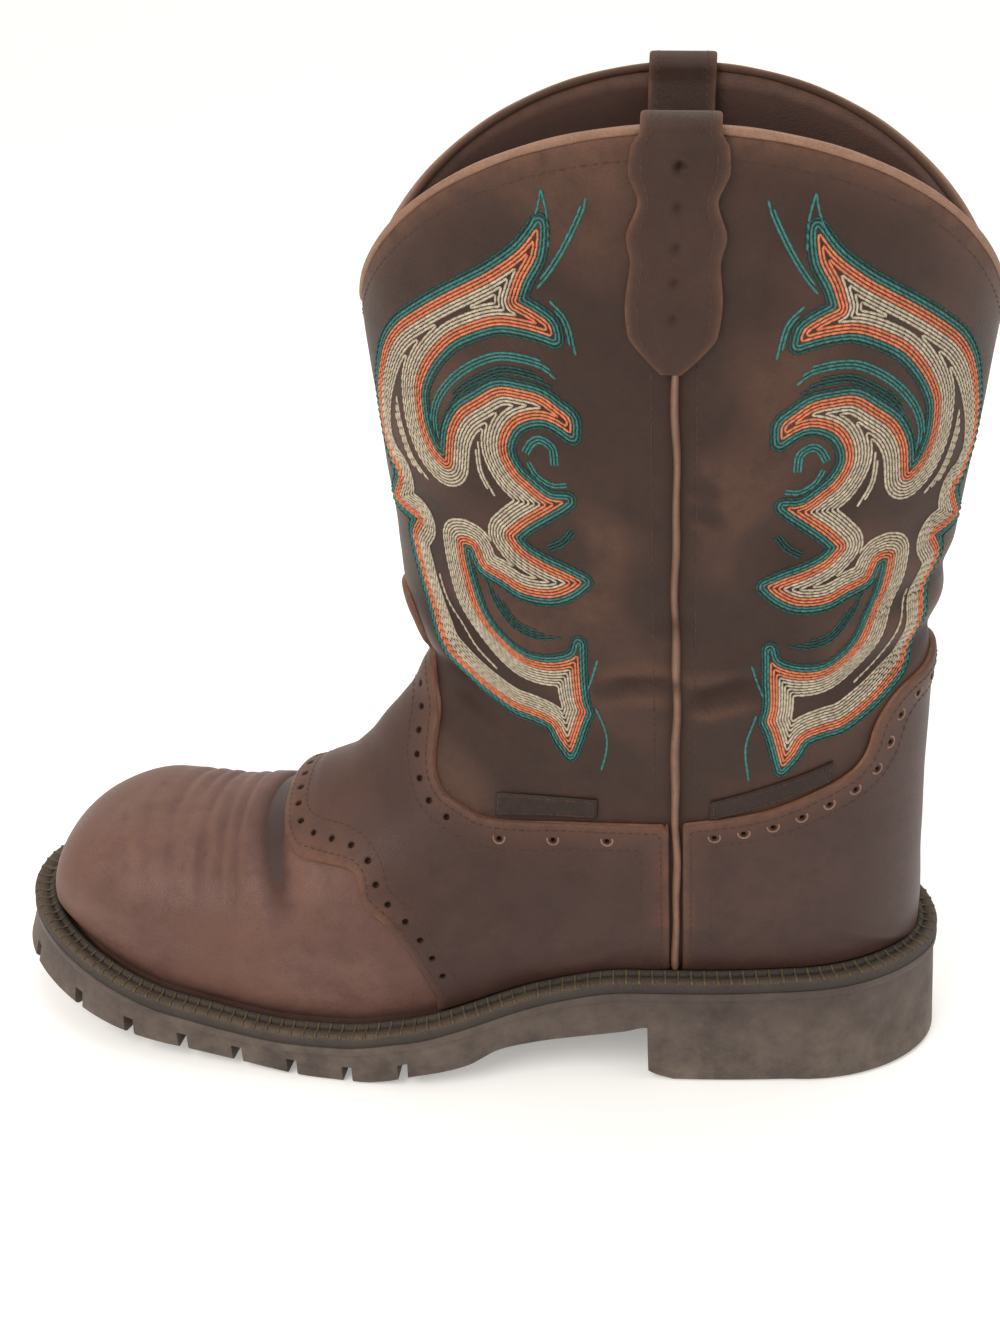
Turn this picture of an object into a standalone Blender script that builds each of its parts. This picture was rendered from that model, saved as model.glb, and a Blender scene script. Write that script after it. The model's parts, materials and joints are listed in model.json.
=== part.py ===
"""Western work boot, left foot: one hollow leather upper on a welted, lugged sole.

Metres, +Z up. The toe points along -X and the outer side of the foot faces -Y.
The origin is on the heel's ground face, under the ankle.
"""

from collections import namedtuple
from functools import lru_cache
from math import pi

import bmesh
import bpy
import numpy as np

MM = 0.001

# Sole
SOLE_LENGTH = 316.5 * MM
HEEL_BEHIND_ORIGIN = 39.5 * MM
BALL_WIDTH = 108 * MM
HEEL_WIDTH = 80 * MM
HEEL_HEIGHT = 40 * MM
FOREFOOT_THICKNESS = 15 * MM
TOE_SPRING = 18 * MM
TOE_SWING = 5 * MM
HEEL_ROUND = 48 * MM
TOE_ROUND = 64 * MM
LIP_HEIGHT = 3 * MM
LIP_STEP = 0.8 * MM
WALL_TAPER = 1.6 * MM
TOE_FLARE = 3.4 * MM
HEEL_FLARE = 2.5 * MM
EDGE_BEVEL = 1.5 * MM
TREAD_START = 0.558
TREAD_END = 0.985
LUG_PITCH = 19 * MM
LUG_GAP = 3.4 * MM
LUG_NOTCH_DEPTH = 9 * MM
LUG_NOTCH_HEIGHT = 7 * MM
TREAD_DEPTH = 3.5 * MM
GROOVE_LENGTH = 44 * MM
HEEL_GROOVES = (0.055, 0.175, 0.245)

# Welt and insole
WELT_THICKNESS = 4.5 * MM
WELT_EDGE = 0.8 * MM
WELT_GAP = 0.7 * MM
BALL_MARGIN = 10.2 * MM
HEEL_MARGIN = 9.1 * MM
INSOLE_THICKNESS = 3 * MM
INSOLE_GAP = 0.5 * MM

# Upper
LEATHER = 2.2 * MM
OVERLAY = 1.8 * MM
CLEARANCE = 0.3 * MM
TOE_BOX_HEIGHT = 44 * MM
INSTEP_HEIGHT = 111 * MM
THROAT_STATION = 0.54
ANKLE_WIDTH = 82 * MM
ANKLE_HOLLOW = 7.1 * MM
SHAFT_HEIGHT = 308.5 * MM
SHAFT_DEPTH = 182.6 * MM
SHAFT_WIDTH = 103 * MM
SHAFT_CENTRE = -57.2 * MM
SCALLOP_DEPTH = 58 * MM
SCALLOP_ROUND = 0.12
SEAM_SETBACK = 2.3 * MM
SEAM_LEAN = 11 * MM

# Trim
BINDING_WIDTH = 3.2 * MM
BINDING_HEIGHT = 2.0 * MM
PIPING_WIDTH = 3 * MM
PIPING_HEIGHT = 2.2 * MM
STRAP_WIDTH = 20 * MM
STRAP_THICKNESS = 2 * MM
STRAP_LENGTH = 61 * MM
STRAP_LOOP_RISE = 5 * MM
STRAP_TAIL = 42 * MM
STRAP_SLACK = 2.5 * MM
STRAP_PLAY = 1.0 * MM
FRONT_TAB_LENGTH = 32 * MM
BACK_TAB_LENGTH = 36 * MM
TAB_HEIGHT = 6.8 * MM
TAB_THICKNESS = 0.9 * MM
TAB_SETBACK = 24.5 * MM
TAB_RISE = 1.7 * MM

# Mesh fineness, and how far the cutters reach past the leather
UPPER_COLUMNS = 32
FOOT_RINGS = 20
LEG_RINGS = 15
WELT_STEPS = 36
CUTTER_REACH = 30 * MM

# Plan of the sole: half widths on the outer (lateral) and inner (medial) side.
Plan = namedtuple("Plan", "station lateral medial")
PLAN = [
    Plan(0.00, 0.430 * HEEL_WIDTH, 0.520 * HEEL_WIDTH),
    Plan(0.12, 0.500 * HEEL_WIDTH, 0.510 * HEEL_WIDTH),
    Plan(0.25, 0.555 * HEEL_WIDTH, 0.475 * HEEL_WIDTH),
    Plan(0.40, 0.431 * BALL_WIDTH, 0.329 * BALL_WIDTH),
    Plan(0.55, 0.525 * BALL_WIDTH, 0.401 * BALL_WIDTH),
    Plan(0.65, 0.510 * BALL_WIDTH, 0.483 * BALL_WIDTH),
    Plan(0.75, 0.486 * BALL_WIDTH, 0.513 * BALL_WIDTH),
    Plan(0.88, 0.463 * BALL_WIDTH, 0.488 * BALL_WIDTH),
    Plan(1.00, 0.400 * BALL_WIDTH, 0.402 * BALL_WIDTH),
]

# Side of the sole: height of its upper rim, and of its underside, above the floor.
Rim = namedtuple("Rim", "station height")
RIM = [
    Rim(0.00, HEEL_HEIGHT),
    Rim(0.10, 0.98 * HEEL_HEIGHT),
    Rim(0.22, 0.95 * HEEL_HEIGHT),
    Rim(0.33, 0.93 * HEEL_HEIGHT),
    Rim(0.42, 0.78 * HEEL_HEIGHT),
    Rim(0.50, 0.61 * HEEL_HEIGHT),
    Rim(0.56, 0.25 * HEEL_HEIGHT + 0.65 * FOREFOOT_THICKNESS),
    Rim(0.62, 1.05 * FOREFOOT_THICKNESS),
    Rim(0.68, FOREFOOT_THICKNESS),
    Rim(0.80, FOREFOOT_THICKNESS + 0.29 * TOE_SPRING),
    Rim(0.90, 1.15 * FOREFOOT_THICKNESS + 0.63 * TOE_SPRING),
    Rim(1.00, 1.20 * FOREFOOT_THICKNESS + TOE_SPRING),
]
BREAST_STATION = 0.302
BREAST_RUN = 0.003
WAIST = [
    Rim(BREAST_STATION - 0.026, 0.0),
    Rim(BREAST_STATION, 0.08 * HEEL_HEIGHT),
    Rim(BREAST_STATION + BREAST_RUN, 0.53 * HEEL_HEIGHT),
    Rim(0.330, 0.48 * HEEL_HEIGHT),
    Rim(0.365, 0.43 * HEEL_HEIGHT),
    Rim(0.420, 0.36 * HEEL_HEIGHT),
    Rim(0.455, 0.32 * HEEL_HEIGHT),
    Rim(0.490, 0.19 * HEEL_HEIGHT),
    Rim(0.545, 0.11 * HEEL_HEIGHT),
    Rim(0.580, 0.03 * HEEL_HEIGHT),
    Rim(0.605, 0.0),
    Rim(0.650, 0.0),
    Rim(0.740, 0.16 * TOE_SPRING),
    Rim(0.848, 0.44 * TOE_SPRING),
    Rim(0.962, 0.84 * TOE_SPRING),
    Rim(1.000, TOE_SPRING),
]

# Sections of the upper. A section is a plane through the front profile and, in the
# foot, through the welt on both sides; in the leg, through the back profile.
# step      place along the boot: 0 at the toe, 1 where the heel starts, 2.4 at the top
# front     station of the front profile point, measured on the sole's length
# rise      height of that point above the welt
# lateral   half width on the outer side, medial on the inner side
# widest    where the widest place is, as a share of the way down the section
# crown     roundness of the section above the widest place, and wall below it
Foot = namedtuple("Foot", "step front rise lateral medial widest crown wall")
FOOT = [
    Foot(0.00, 0.9665, 0.00 * TOE_BOX_HEIGHT, 0.000 * BALL_WIDTH, 0.000 * BALL_WIDTH, 0.66, 2.3, 2.2),
    Foot(0.08, 0.9590, 0.36 * TOE_BOX_HEIGHT, 0.160 * BALL_WIDTH, 0.235 * BALL_WIDTH, 0.66, 2.3, 2.2),
    Foot(0.16, 0.9175, 0.73 * TOE_BOX_HEIGHT, 0.285 * BALL_WIDTH, 0.365 * BALL_WIDTH, 0.67, 2.4, 2.2),
    Foot(0.24, 0.8490, 1.01 * TOE_BOX_HEIGHT, 0.373 * BALL_WIDTH, 0.440 * BALL_WIDTH, 0.68, 2.4, 2.2),
    Foot(0.32, 0.7730, 1.135 * TOE_BOX_HEIGHT, 0.412 * BALL_WIDTH, 0.458 * BALL_WIDTH, 0.68, 2.3, 2.2),
    Foot(0.40, 0.7025, 0.545 * INSTEP_HEIGHT, 0.445 * BALL_WIDTH, 0.425 * BALL_WIDTH, 0.66, 2.1, 2.2),
    Foot(0.48, 0.6495, 0.640 * INSTEP_HEIGHT, 0.455 * BALL_WIDTH, 0.375 * BALL_WIDTH, 0.63, 2.0, 2.2),
    Foot(0.56, 0.6130, 0.724 * INSTEP_HEIGHT, 0.535 * ANKLE_WIDTH, 0.475 * ANKLE_WIDTH, 0.60, 1.9, 2.2),
    Foot(0.64, 0.5850, 0.792 * INSTEP_HEIGHT, 0.515 * ANKLE_WIDTH, 0.480 * ANKLE_WIDTH, 0.58, 1.9, 2.3),
    Foot(0.72, 0.5670, 0.852 * INSTEP_HEIGHT, 0.505 * ANKLE_WIDTH, 0.485 * ANKLE_WIDTH, 0.56, 1.9, 2.3),
    Foot(0.80, 0.5540, 0.899 * INSTEP_HEIGHT, 0.500 * ANKLE_WIDTH, 0.490 * ANKLE_WIDTH, 0.54, 1.9, 2.3),
    Foot(0.90, 0.5450, 0.952 * INSTEP_HEIGHT, 0.500 * ANKLE_WIDTH, 0.495 * ANKLE_WIDTH, 0.52, 1.95, 2.2),
]

# Leg sections, as shares of the way up from the throat to the top of the shaft.
# front_up, back_up   height of the front and back profile points
# forward             how far the front point has moved from throat to shaft
# hollow              share of the hollow above the heel
# spread              how far the width has grown from ankle to shaft
Leg = namedtuple("Leg", "step front_up back_up forward hollow spread widest crown wall")
LEG = [
    Leg(1.00, 0.000, 0.000, 0.00, 0.00, 0.00, 0.51, 2.00, 2.20),
    Leg(1.12, 0.052, 0.061, 0.09, 0.11, 0.06, 0.50, 2.00, 2.35),
    Leg(1.27, 0.121, 0.140, 0.32, 0.41, 0.15, 0.50, 2.00, 2.40),
    Leg(1.48, 0.220, 0.250, 0.47, 0.77, 0.32, 0.50, 2.00, 2.30),
    Leg(1.66, 0.306, 0.349, 0.56, 1.00, 0.49, 0.50, 2.00, 2.10),
    Leg(1.85, 0.400, 0.447, 0.68, 0.90, 0.67, 0.50, 2.00, 2.00),
    Leg(2.05, 0.490, 0.553, 0.79, 0.50, 0.82, 0.50, 2.00, 2.00),
    Leg(2.24, 0.578, 0.659, 0.91, 0.17, 0.92, 0.50, 2.00, 2.00),
    Leg(2.40, 0.665, 0.780, 1.00, 0.00, 1.00, 0.50, 2.00, 2.00),
    Leg(3.00, 1.000, 1.000, 1.00, 0.00, 1.00, 0.50, 2.00, 2.00),
]

# Edges of the overlays, seen from the side. along is a station of the sole's length,
# up a share of the throat's height above the welt at the heel. The last row of the
# saddle's top and the first of the counter's meet the seam, which moves them along.
Edge = namedtuple("Edge", "along up")
SADDLE_FRONT = [
    Edge(0.523, -0.126),
    Edge(0.540, 0.020),
    Edge(0.557, 0.127),
    Edge(0.575, 0.193),
    Edge(0.599, 0.251),
    Edge(0.600, 0.320),
    Edge(0.608, 0.350),
    Edge(0.648, 0.333),
    Edge(0.669, 0.329),
    Edge(0.686, 0.361),
    Edge(0.694, 0.400),
    Edge(0.698, 0.455),
]
SADDLE_TOP = [
    Edge(0.562, 1.277),
    Edge(0.553, 1.242),
    Edge(0.551, 1.204),
    Edge(0.541, 1.068),
    Edge(0.529, 0.950),
    Edge(0.523, 0.871),
    Edge(0.526, 0.783),
    Edge(0.528, 0.706),
    Edge(0.524, 0.646),
    Edge(0.515, 0.611),
    Edge(0.501, 0.594),
    Edge(0.471, 0.550),
    Edge(0.365, 0.584),
    Edge(0.303, 0.608),
]
COUNTER_TOP = [
    Edge(0.269, 0.616),
    Edge(0.228, 0.655),
    Edge(0.192, 0.692),
    Edge(0.148, 0.757),
    Edge(0.120, 0.803),
    Edge(0.107, 0.865),
    Edge(0.103, 0.958),
    Edge(0.090, 1.035),
    Edge(0.074, 1.079),
    Edge(0.049, 1.099),
    Edge(0.035, 1.198),
    Edge(0.005, 1.238),
]

# Outline of a pull strap's outer end: half width along it, from the topline down.
Scallop = namedtuple("Scallop", "down half_width")
STRAP_SCALLOPS = [
    Scallop(0.00, 0.50),
    Scallop(0.05, 0.60),
    Scallop(0.15, 0.63),
    Scallop(0.27, 0.50),
    Scallop(0.42, 0.63),
    Scallop(0.52, 0.57),
    Scallop(0.70, 0.62),
    Scallop(0.83, 0.58),
    Scallop(0.93, 0.36),
    Scallop(1.00, 0.14),
]


def ease(keys, values, at):
    """Monotone cubic through a table, so that a form has no bumps between its rows."""
    keys = np.asarray(keys, float)
    values = np.asarray(values, float)
    at = np.clip(np.asarray(at, float), keys[0], keys[-1])
    run = np.diff(keys)
    slope = np.diff(values) / run
    tangent = np.empty(len(keys))
    tangent[0] = slope[0]
    tangent[-1] = slope[-1]
    before, after = slope[:-1], slope[1:]
    same_way = before * after > 0
    weight = np.where(same_way, before * after, 0.0)
    tangent[1:-1] = np.where(same_way, 2 * weight / np.where(same_way, before + after, 1.0), 0.0)
    piece = np.clip(np.searchsorted(keys, at, side="right") - 1, 0, len(run) - 1)
    t = (at - keys[piece]) / run[piece]
    low, high = values[piece], values[piece + 1]
    pull_low = tangent[piece] * run[piece]
    pull_high = tangent[piece + 1] * run[piece]
    return (
        low * (1 + 2 * t) * (1 - t) ** 2
        + pull_low * t * (1 - t) ** 2
        + high * t**2 * (3 - 2 * t)
        - pull_high * t**2 * (1 - t)
    )


def column(rows, name):
    return [getattr(row, name) for row in rows]


def from_table(rows, name, at):
    return ease(column(rows, rows[0]._fields[0]), column(rows, name), at)


def x_at(station):
    return HEEL_BEHIND_ORIGIN - np.asarray(station) * SOLE_LENGTH


def station_at(x):
    return (HEEL_BEHIND_ORIGIN - np.asarray(x)) / SOLE_LENGTH


def rim_height(x):
    return from_table(RIM, "height", station_at(x))


def welt_top(x):
    return rim_height(x) + WELT_THICKNESS


def tread_height(x):
    """Underside of the sole: the heel, its breast, the waist, the tread and the toe spring."""
    return from_table(WAIST, "height", station_at(x))


def swing(x):
    """Sideways place of the middle line, which turns inwards at the toe."""
    turned = np.clip((station_at(x) - 0.6) / 0.4, 0.0, 1.0)
    return TOE_SWING * turned**2


def round_ends(station):
    """Share of the full width that is left where the heel and the toe are rounded off."""
    heel = HEEL_ROUND / SOLE_LENGTH
    toe = TOE_ROUND / SOLE_LENGTH
    share = np.ones_like(station)
    at_heel = station < heel
    share[at_heel] = (1 - (1 - station[at_heel] / heel) ** 2.1).clip(0) ** (1 / 2.1)
    at_toe = station > 1 - toe
    share[at_toe] = (1 - ((station[at_toe] - 1 + toe) / toe) ** 2.2).clip(0) ** (1 / 2.2)
    return share


def fine_stations():
    return (1 - np.cos(np.linspace(0, pi, 721))) / 2


def outline(side, stations):
    """Points of the sole's edge on one side, and the directions that lead out of it."""
    stations = np.asarray(stations, float)
    name = "lateral" if side < 0 else "medial"
    fine = fine_stations()
    x = x_at(fine)
    y = swing(x) + side * from_table(PLAN, name, fine) * round_ends(fine)
    run = np.stack([np.gradient(x), np.gradient(y)], 1)
    out = np.stack([-side * run[:, 1], side * run[:, 0]], 1) * -1
    out /= np.linalg.norm(out, axis=1)[:, None]
    turn = np.arccos(1 - 2 * np.clip(stations, 0, 1))
    fine_turn = np.arccos(1 - 2 * fine)
    points = np.stack([np.interp(turn, fine_turn, x), np.interp(turn, fine_turn, y)], 1)
    ways = np.stack([np.interp(turn, fine_turn, out[:, 0]), np.interp(turn, fine_turn, out[:, 1])], 1)
    return points, ways / np.linalg.norm(ways, axis=1)[:, None]


def margin(station):
    """Width of the welt that shows, narrower round the heel."""
    share = np.clip((station - 0.25) / 0.25, 0.0, 1.0)
    share = share * share * (3 - 2 * share)
    return HEEL_MARGIN + (BALL_MARGIN - HEEL_MARGIN) * share


@lru_cache
def feather_line(side):
    """The line where the upper meets the welt: the sole's edge moved in by the margin."""
    stations = fine_stations()
    points, ways = outline(side, stations)
    inner = points - ways * margin(stations)[:, None]
    inner[0, 1] = 0.0
    inner[-1, 1] = swing(inner[-1, 0])
    order = np.argsort(-inner[:, 0], kind="stable")
    return inner[order], ways[order]


def feather_ends():
    """Rear and front end of that line."""
    return x_at(0) - HEEL_MARGIN, x_at(1) + BALL_MARGIN


def feather_x(step):
    """Place along the boot where the foot section of this step meets the welt."""
    rear, front = feather_ends()
    return front + (rear - front) * (1 - np.cos(pi * np.clip(step, 0, 1))) / 2


def feather_y(x, side):
    """Sideways place of the feather line, and the way out of it."""
    inner, ways = feather_line(side)
    rear, front = feather_ends()
    turn = np.arccos(np.clip(1 - 2 * (rear - np.asarray(x)) / (rear - front), -1, 1))
    known = np.arccos(np.clip(1 - 2 * (rear - inner[:, 0]) / (rear - front), -1, 1))
    y = np.interp(turn, known, inner[:, 1])
    way = np.stack([np.interp(turn, known, ways[:, 0]), np.interp(turn, known, ways[:, 1])], -1)
    return y, way / np.linalg.norm(way, axis=-1)[..., None]


def throat():
    """Front profile point where foot and leg meet."""
    x = float(x_at(THROAT_STATION))
    return x, float(welt_top(x)) + INSTEP_HEIGHT


def section_frame(step):
    """Ends of the sections in side view: front point, rear point, and half widths."""
    step = np.atleast_1d(np.asarray(step, float))
    throat_x, throat_z = throat()
    shaft_front = SHAFT_CENTRE - SHAFT_DEPTH / 2
    shaft_back = SHAFT_CENTRE + SHAFT_DEPTH / 2
    rear = feather_ends()[0]
    rear_z = float(welt_top(rear))
    leg_steps = column(LEG, "step")
    front_x = [float(x_at(row.front)) for row in FOOT]
    front_x += [throat_x + row.forward * (shaft_front - throat_x) for row in LEG]
    front_z = [float(welt_top(x_at(row.front))) + row.rise for row in FOOT]
    front_z += [throat_z + row.front_up * (SHAFT_HEIGHT - throat_z) for row in LEG]
    steps = column(FOOT, "step") + leg_steps
    spread = [(ANKLE_WIDTH + row.spread * (SHAFT_WIDTH - ANKLE_WIDTH)) / 2 for row in LEG]
    back_up = np.array(column(LEG, "back_up"))
    back_x = rear + back_up * (shaft_back - rear) - np.array(column(LEG, "hollow")) * ANKLE_HOLLOW
    back_z = rear_z + back_up * (SHAFT_HEIGHT - rear_z)
    in_foot = step <= 1.0
    foot_x = feather_x(step)
    frame = {
        "front_x": ease(steps, front_x, step),
        "front_z": ease(steps, front_z, step),
        "rear_x": np.where(in_foot, foot_x, ease(leg_steps, back_x, step)),
        "rear_z": np.where(in_foot, welt_top(foot_x), ease(leg_steps, back_z, step)),
        "widest": ease(steps, column(FOOT, "widest") + column(LEG, "widest"), step),
        "crown": ease(steps, column(FOOT, "crown") + column(LEG, "crown"), step),
        "wall": ease(steps, column(FOOT, "wall") + column(LEG, "wall"), step),
    }
    frame["middle"] = swing(frame["front_x"])
    for side, name in ((-1, "lateral"), (1, "medial")):
        width = ease(steps, column(FOOT, name) + spread, step)
        foot = np.where(in_foot, side * feather_y(foot_x, side)[0], 0.0)
        frame[name] = np.maximum(width, 1.01 * foot + 0.0001)
        frame[name + "_foot"] = foot
    return frame


def half_section(frame, index, side, points):
    """Half of one section: shares of the way down it, and sideways places."""
    name = "lateral" if side < 0 else "medial"
    middle = frame["middle"][index]
    reach = side * frame[name][index] - middle
    foot = side * frame[name + "_foot"][index] - middle if frame[name + "_foot"][index] else 0.0
    widest, crown, wall = (frame[key][index] for key in ("widest", "crown", "wall"))
    turn = np.linspace(0, pi / 2, points)
    down_top = widest * (1 - np.cos(turn) ** (2 / crown))
    side_top = np.sin(turn) ** (2 / crown)
    cut = 1 - max(foot / reach, 0.0) ** wall if reach else 1.0
    turn = np.linspace(0, np.arcsin(np.sqrt(min(cut, 1.0))), points)[1:]
    down_low = widest + (1 - widest) * (np.sin(turn) ** 2 / max(cut, 1e-9)) ** (1 / wall)
    side_low = np.cos(turn) ** (2 / wall)
    down = np.concatenate([down_top, down_low])
    sideways = middle + reach * np.concatenate([side_top, side_low])
    if frame[name + "_foot"][index]:
        sideways[-1] = side * frame[name + "_foot"][index]
    elif frame["rear_z"][index] > welt_top(frame["rear_x"][index]) - 1e-6:
        sideways[-1] = 0.0
    return down, sideways


def upper_ring(frame, index, columns):
    """Evenly spaced points round one section, from the outer side over the front."""
    start = np.array([frame["front_x"][index], frame["front_z"][index]])
    end = np.array([frame["rear_x"][index], frame["rear_z"][index]])
    length = np.linalg.norm(end - start)
    halves = []
    for side in (-1, 1):
        down, sideways = half_section(frame, index, side, 40)
        path = np.concatenate([[0], np.cumsum(np.hypot(np.diff(down * length), np.diff(sideways)))])
        at = np.linspace(0, path[-1], columns // 2 + 1)
        down = np.interp(at, path, down)
        sideways = np.interp(at, path, sideways)
        place = start + down[:, None] * (end - start)
        halves.append(np.stack([place[:, 0], sideways, place[:, 1]], 1))
    return np.concatenate([halves[0][::-1], halves[1][1:]])


def topline(x):
    """Height of the scalloped top edge over a place along the shaft."""
    across = np.clip((x - SHAFT_CENTRE) / (SHAFT_DEPTH / 2), -1, 1)
    dip = np.sqrt((1 - across**2) * (1 - SCALLOP_ROUND**2) + SCALLOP_ROUND**2)
    return SHAFT_HEIGHT - SCALLOP_DEPTH * (1 - dip) / (1 - SCALLOP_ROUND)


def upper_grid(columns, foot_rings, leg_rings):
    """Rings of points over the whole upper, the leg's rings bent up to the topline."""
    foot_steps = np.linspace(0, 1, foot_rings + 1)
    frame = section_frame(foot_steps)
    foot = [upper_ring(frame, i, columns) for i in range(len(foot_steps))]
    foot[0][:] = (foot[0][0] + foot[0][-1]) / 2
    dense = np.linspace(1, LEG[-1].step, 161)
    frame = section_frame(dense)
    leg = np.array([upper_ring(frame, i, columns) for i in range(len(dense))])
    over = leg[:, :, 2] - topline(leg[:, :, 0])
    rings = []
    for level in np.linspace(0, 1, leg_rings + 1)[1:]:
        ring = []
        for j in range(columns + 1):
            first = int(np.argmax(over[:, j] > 0)) if np.any(over[:, j] > 0) else len(dense) - 1
            share = over[first - 1, j] / (over[first - 1, j] - over[first, j])
            top = first - 1 + np.clip(share, 0, 1)
            at = level * top
            ring.append([np.interp(at, np.arange(len(dense)), leg[:, j, k]) for k in range(3)])
        rings.append(np.array(ring))
    return foot, rings


def side_place(x, z, side, lift=0.0):
    """Point of the upper's outer face over a place in side view, lifted off it."""
    steps = np.linspace(0.02, LEG[-1].step, 600)
    frame = section_frame(steps)
    run_x = frame["rear_x"] - frame["front_x"]
    run_z = frame["rear_z"] - frame["front_z"]

    def sideways(px, pz):
        miss = (px - frame["front_x"]) * run_z - (pz - frame["front_z"]) * run_x
        index = int(np.argmax(miss > 0)) if np.any(miss > 0) else len(steps) - 1
        index = max(index, 1)
        share = miss[index - 1] / (miss[index - 1] - miss[index])
        step = steps[index - 1] + np.clip(share, 0, 1) * (steps[index] - steps[index - 1])
        here = section_frame(step)
        long = (here["rear_x"] - here["front_x"])[0], (here["rear_z"] - here["front_z"])[0]
        down = (px - here["front_x"][0]) * long[0] + (pz - here["front_z"][0]) * long[1]
        down /= long[0] ** 2 + long[1] ** 2
        shares, places = half_section(here, 0, side, 60)
        return float(np.interp(down, shares, places))

    small = 0.5 * MM
    y = sideways(x, z)
    slope_x = (sideways(x + small, z) - sideways(x - small, z)) / (2 * small)
    slope_z = (sideways(x, z + small) - sideways(x, z - small)) / (2 * small)
    normal = side * np.array([-slope_x, 1.0, -slope_z])
    normal /= np.linalg.norm(normal)
    return np.array([x, y, z]) + lift * normal


def seam_x(z):
    """Place of the side seams, which lean back a little towards the welt."""
    down = (SHAFT_HEIGHT - z) / (SHAFT_HEIGHT - HEEL_HEIGHT)
    return SHAFT_CENTRE - SEAM_SETBACK + SEAM_LEAN * down


def new_collection(name):
    collection = bpy.data.collections.new(name)
    bpy.context.scene.collection.children.link(collection)
    return collection


def material(name, color, roughness):
    made = bpy.data.materials.new(name)
    made.use_nodes = True
    shader = made.node_tree.nodes["Principled BSDF"]
    shader.inputs["Base Color"].default_value = (*color, 1.0)
    shader.inputs["Roughness"].default_value = roughness
    shader.inputs["Metallic"].default_value = 0.0
    return made


def mesh_object(name, bm, collection, finish=None):
    """Object from a bmesh whose faces are turned outwards and shaded smooth."""
    bmesh.ops.recalc_face_normals(bm, faces=bm.faces)
    mesh = bpy.data.meshes.new(name)
    bm.to_mesh(mesh)
    bm.free()
    mesh.shade_smooth()
    mesh.set_sharp_from_angle(angle=0.6)
    made = bpy.data.objects.new(name, mesh)
    collection.objects.link(made)
    if finish:
        made.data.materials.append(finish)
    return made


def loft(bm, loops, closed=True):
    """Faces between loops of points of one length. Gives the vertices."""
    rows = [[bm.verts.new(point) for point in loop] for loop in loops]
    for low, high in zip(rows, rows[1:]):
        count = len(low)
        for i in range(count if closed else count - 1):
            j = (i + 1) % count
            bm.faces.new((low[i], low[j], high[j], high[i]))
    return rows


def boolean(target, cutter, operation):
    modifier = target.modifiers.new(operation.title(), "BOOLEAN")
    modifier.operation = operation
    modifier.solver = "EXACT"
    modifier.object = cutter


def hide_cutter(cutter):
    cutter.hide_render = True
    cutter.display_type = "WIRE"


def box_cutter(bm, centre, size, way):
    """Box whose length lies along a flat direction."""
    made = bmesh.ops.create_cube(bm, size=1.0)["verts"]
    across = np.array([-way[1], way[0]])
    for vert in made:
        along = vert.co.x * size[0]
        wide = vert.co.y * size[1]
        vert.co.z = centre[2] + vert.co.z * size[2]
        vert.co.x = centre[0] + along * way[0] + wide * across[0]
        vert.co.y = centre[1] + along * way[1] + wide * across[1]


def sole_stations():
    """Stations of the sole's edge, closer together where its ends are rounded."""
    heel = HEEL_ROUND / SOLE_LENGTH
    toe = TOE_ROUND / SOLE_LENGTH
    rear = heel * (1 - np.cos(np.linspace(0, pi / 2, 7)))
    front = 1 - toe * (1 - np.cos(np.linspace(0, pi / 2, 8)))[::-1]
    turns = column(WAIST, "station")[:12]
    between = [0.21, 0.245, 0.29, 0.39, 0.52, 0.5625, 0.6275, 0.675, 0.70, 0.725, 0.755]
    return np.unique(np.round(np.concatenate([rear, turns, between, front]), 6))


def sole_loop(stations, inset, height):
    """Closed loop along the edge, out along one side and back along the other."""
    sides = []
    for side in (-1, 1):
        points, ways = outline(side, stations)
        inner = points - ways * inset[:, None]
        if side > 0:
            inner[0] = sides[0][0][:2]
            inner[-1] = sides[0][-1][:2]
        sides.append(np.column_stack([inner, height(points[:, 0])]))
    return sides


def make_outsole(parts, cutters, finish):
    """Sole and heel in one moulding, from loops down its side and strips across."""
    stations = sole_stations()
    toe = np.clip(1 - (1 - stations) * SOLE_LENGTH / TOE_ROUND, 0, 1)
    heel = np.clip(1 - stations * SOLE_LENGTH / HEEL_ROUND, 0, 1)
    none = np.zeros_like(stations)
    taper = WALL_TAPER * (1 - toe - heel) - TOE_FLARE * toe - HEEL_FLARE * heel
    levels = [
        (none + 0.4 * MM, rim_height),
        (none, lambda x: rim_height(x) - 0.5 * MM),
        (none, lambda x: rim_height(x) - LIP_HEIGHT),
        (none + LIP_STEP, lambda x: rim_height(x) - LIP_HEIGHT - 0.5 * MM),
        (taper, lambda x: tread_height(x) + EDGE_BEVEL),
        (taper + EDGE_BEVEL, tread_height),
    ]
    bm = bmesh.new()
    grid = []
    for inset, height in levels:
        pair = sole_loop(stations, inset, height)
        grid.append([[bm.verts.new(point) for point in side] for side in pair])
    last = len(stations) - 1
    for high, low in zip(grid, grid[1:]):
        for side in (0, 1):
            for i in range(last):
                bm.faces.new((high[side][i], high[side][i + 1], low[side][i + 1], low[side][i]))
    for level in (grid[0], grid[-1]):
        for i in range(last):
            bm.faces.new((level[0][i], level[0][i + 1], level[1][i + 1], level[1][i]))
    bmesh.ops.remove_doubles(bm, verts=bm.verts, dist=0.00002)
    bmesh.ops.triangulate(bm, faces=bm.faces)
    outsole = mesh_object("outsole", bm, parts, finish)
    cutter = make_lug_cutter(cutters)
    boolean(outsole, cutter, "DIFFERENCE")
    return outsole


def lug_places():
    """Stations of the gaps between the lugs of the tread."""
    pitch = LUG_PITCH / SOLE_LENGTH
    count = int((TREAD_END - TREAD_START) / pitch) + 1
    return [TREAD_START + i * pitch for i in range(count)]


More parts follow.
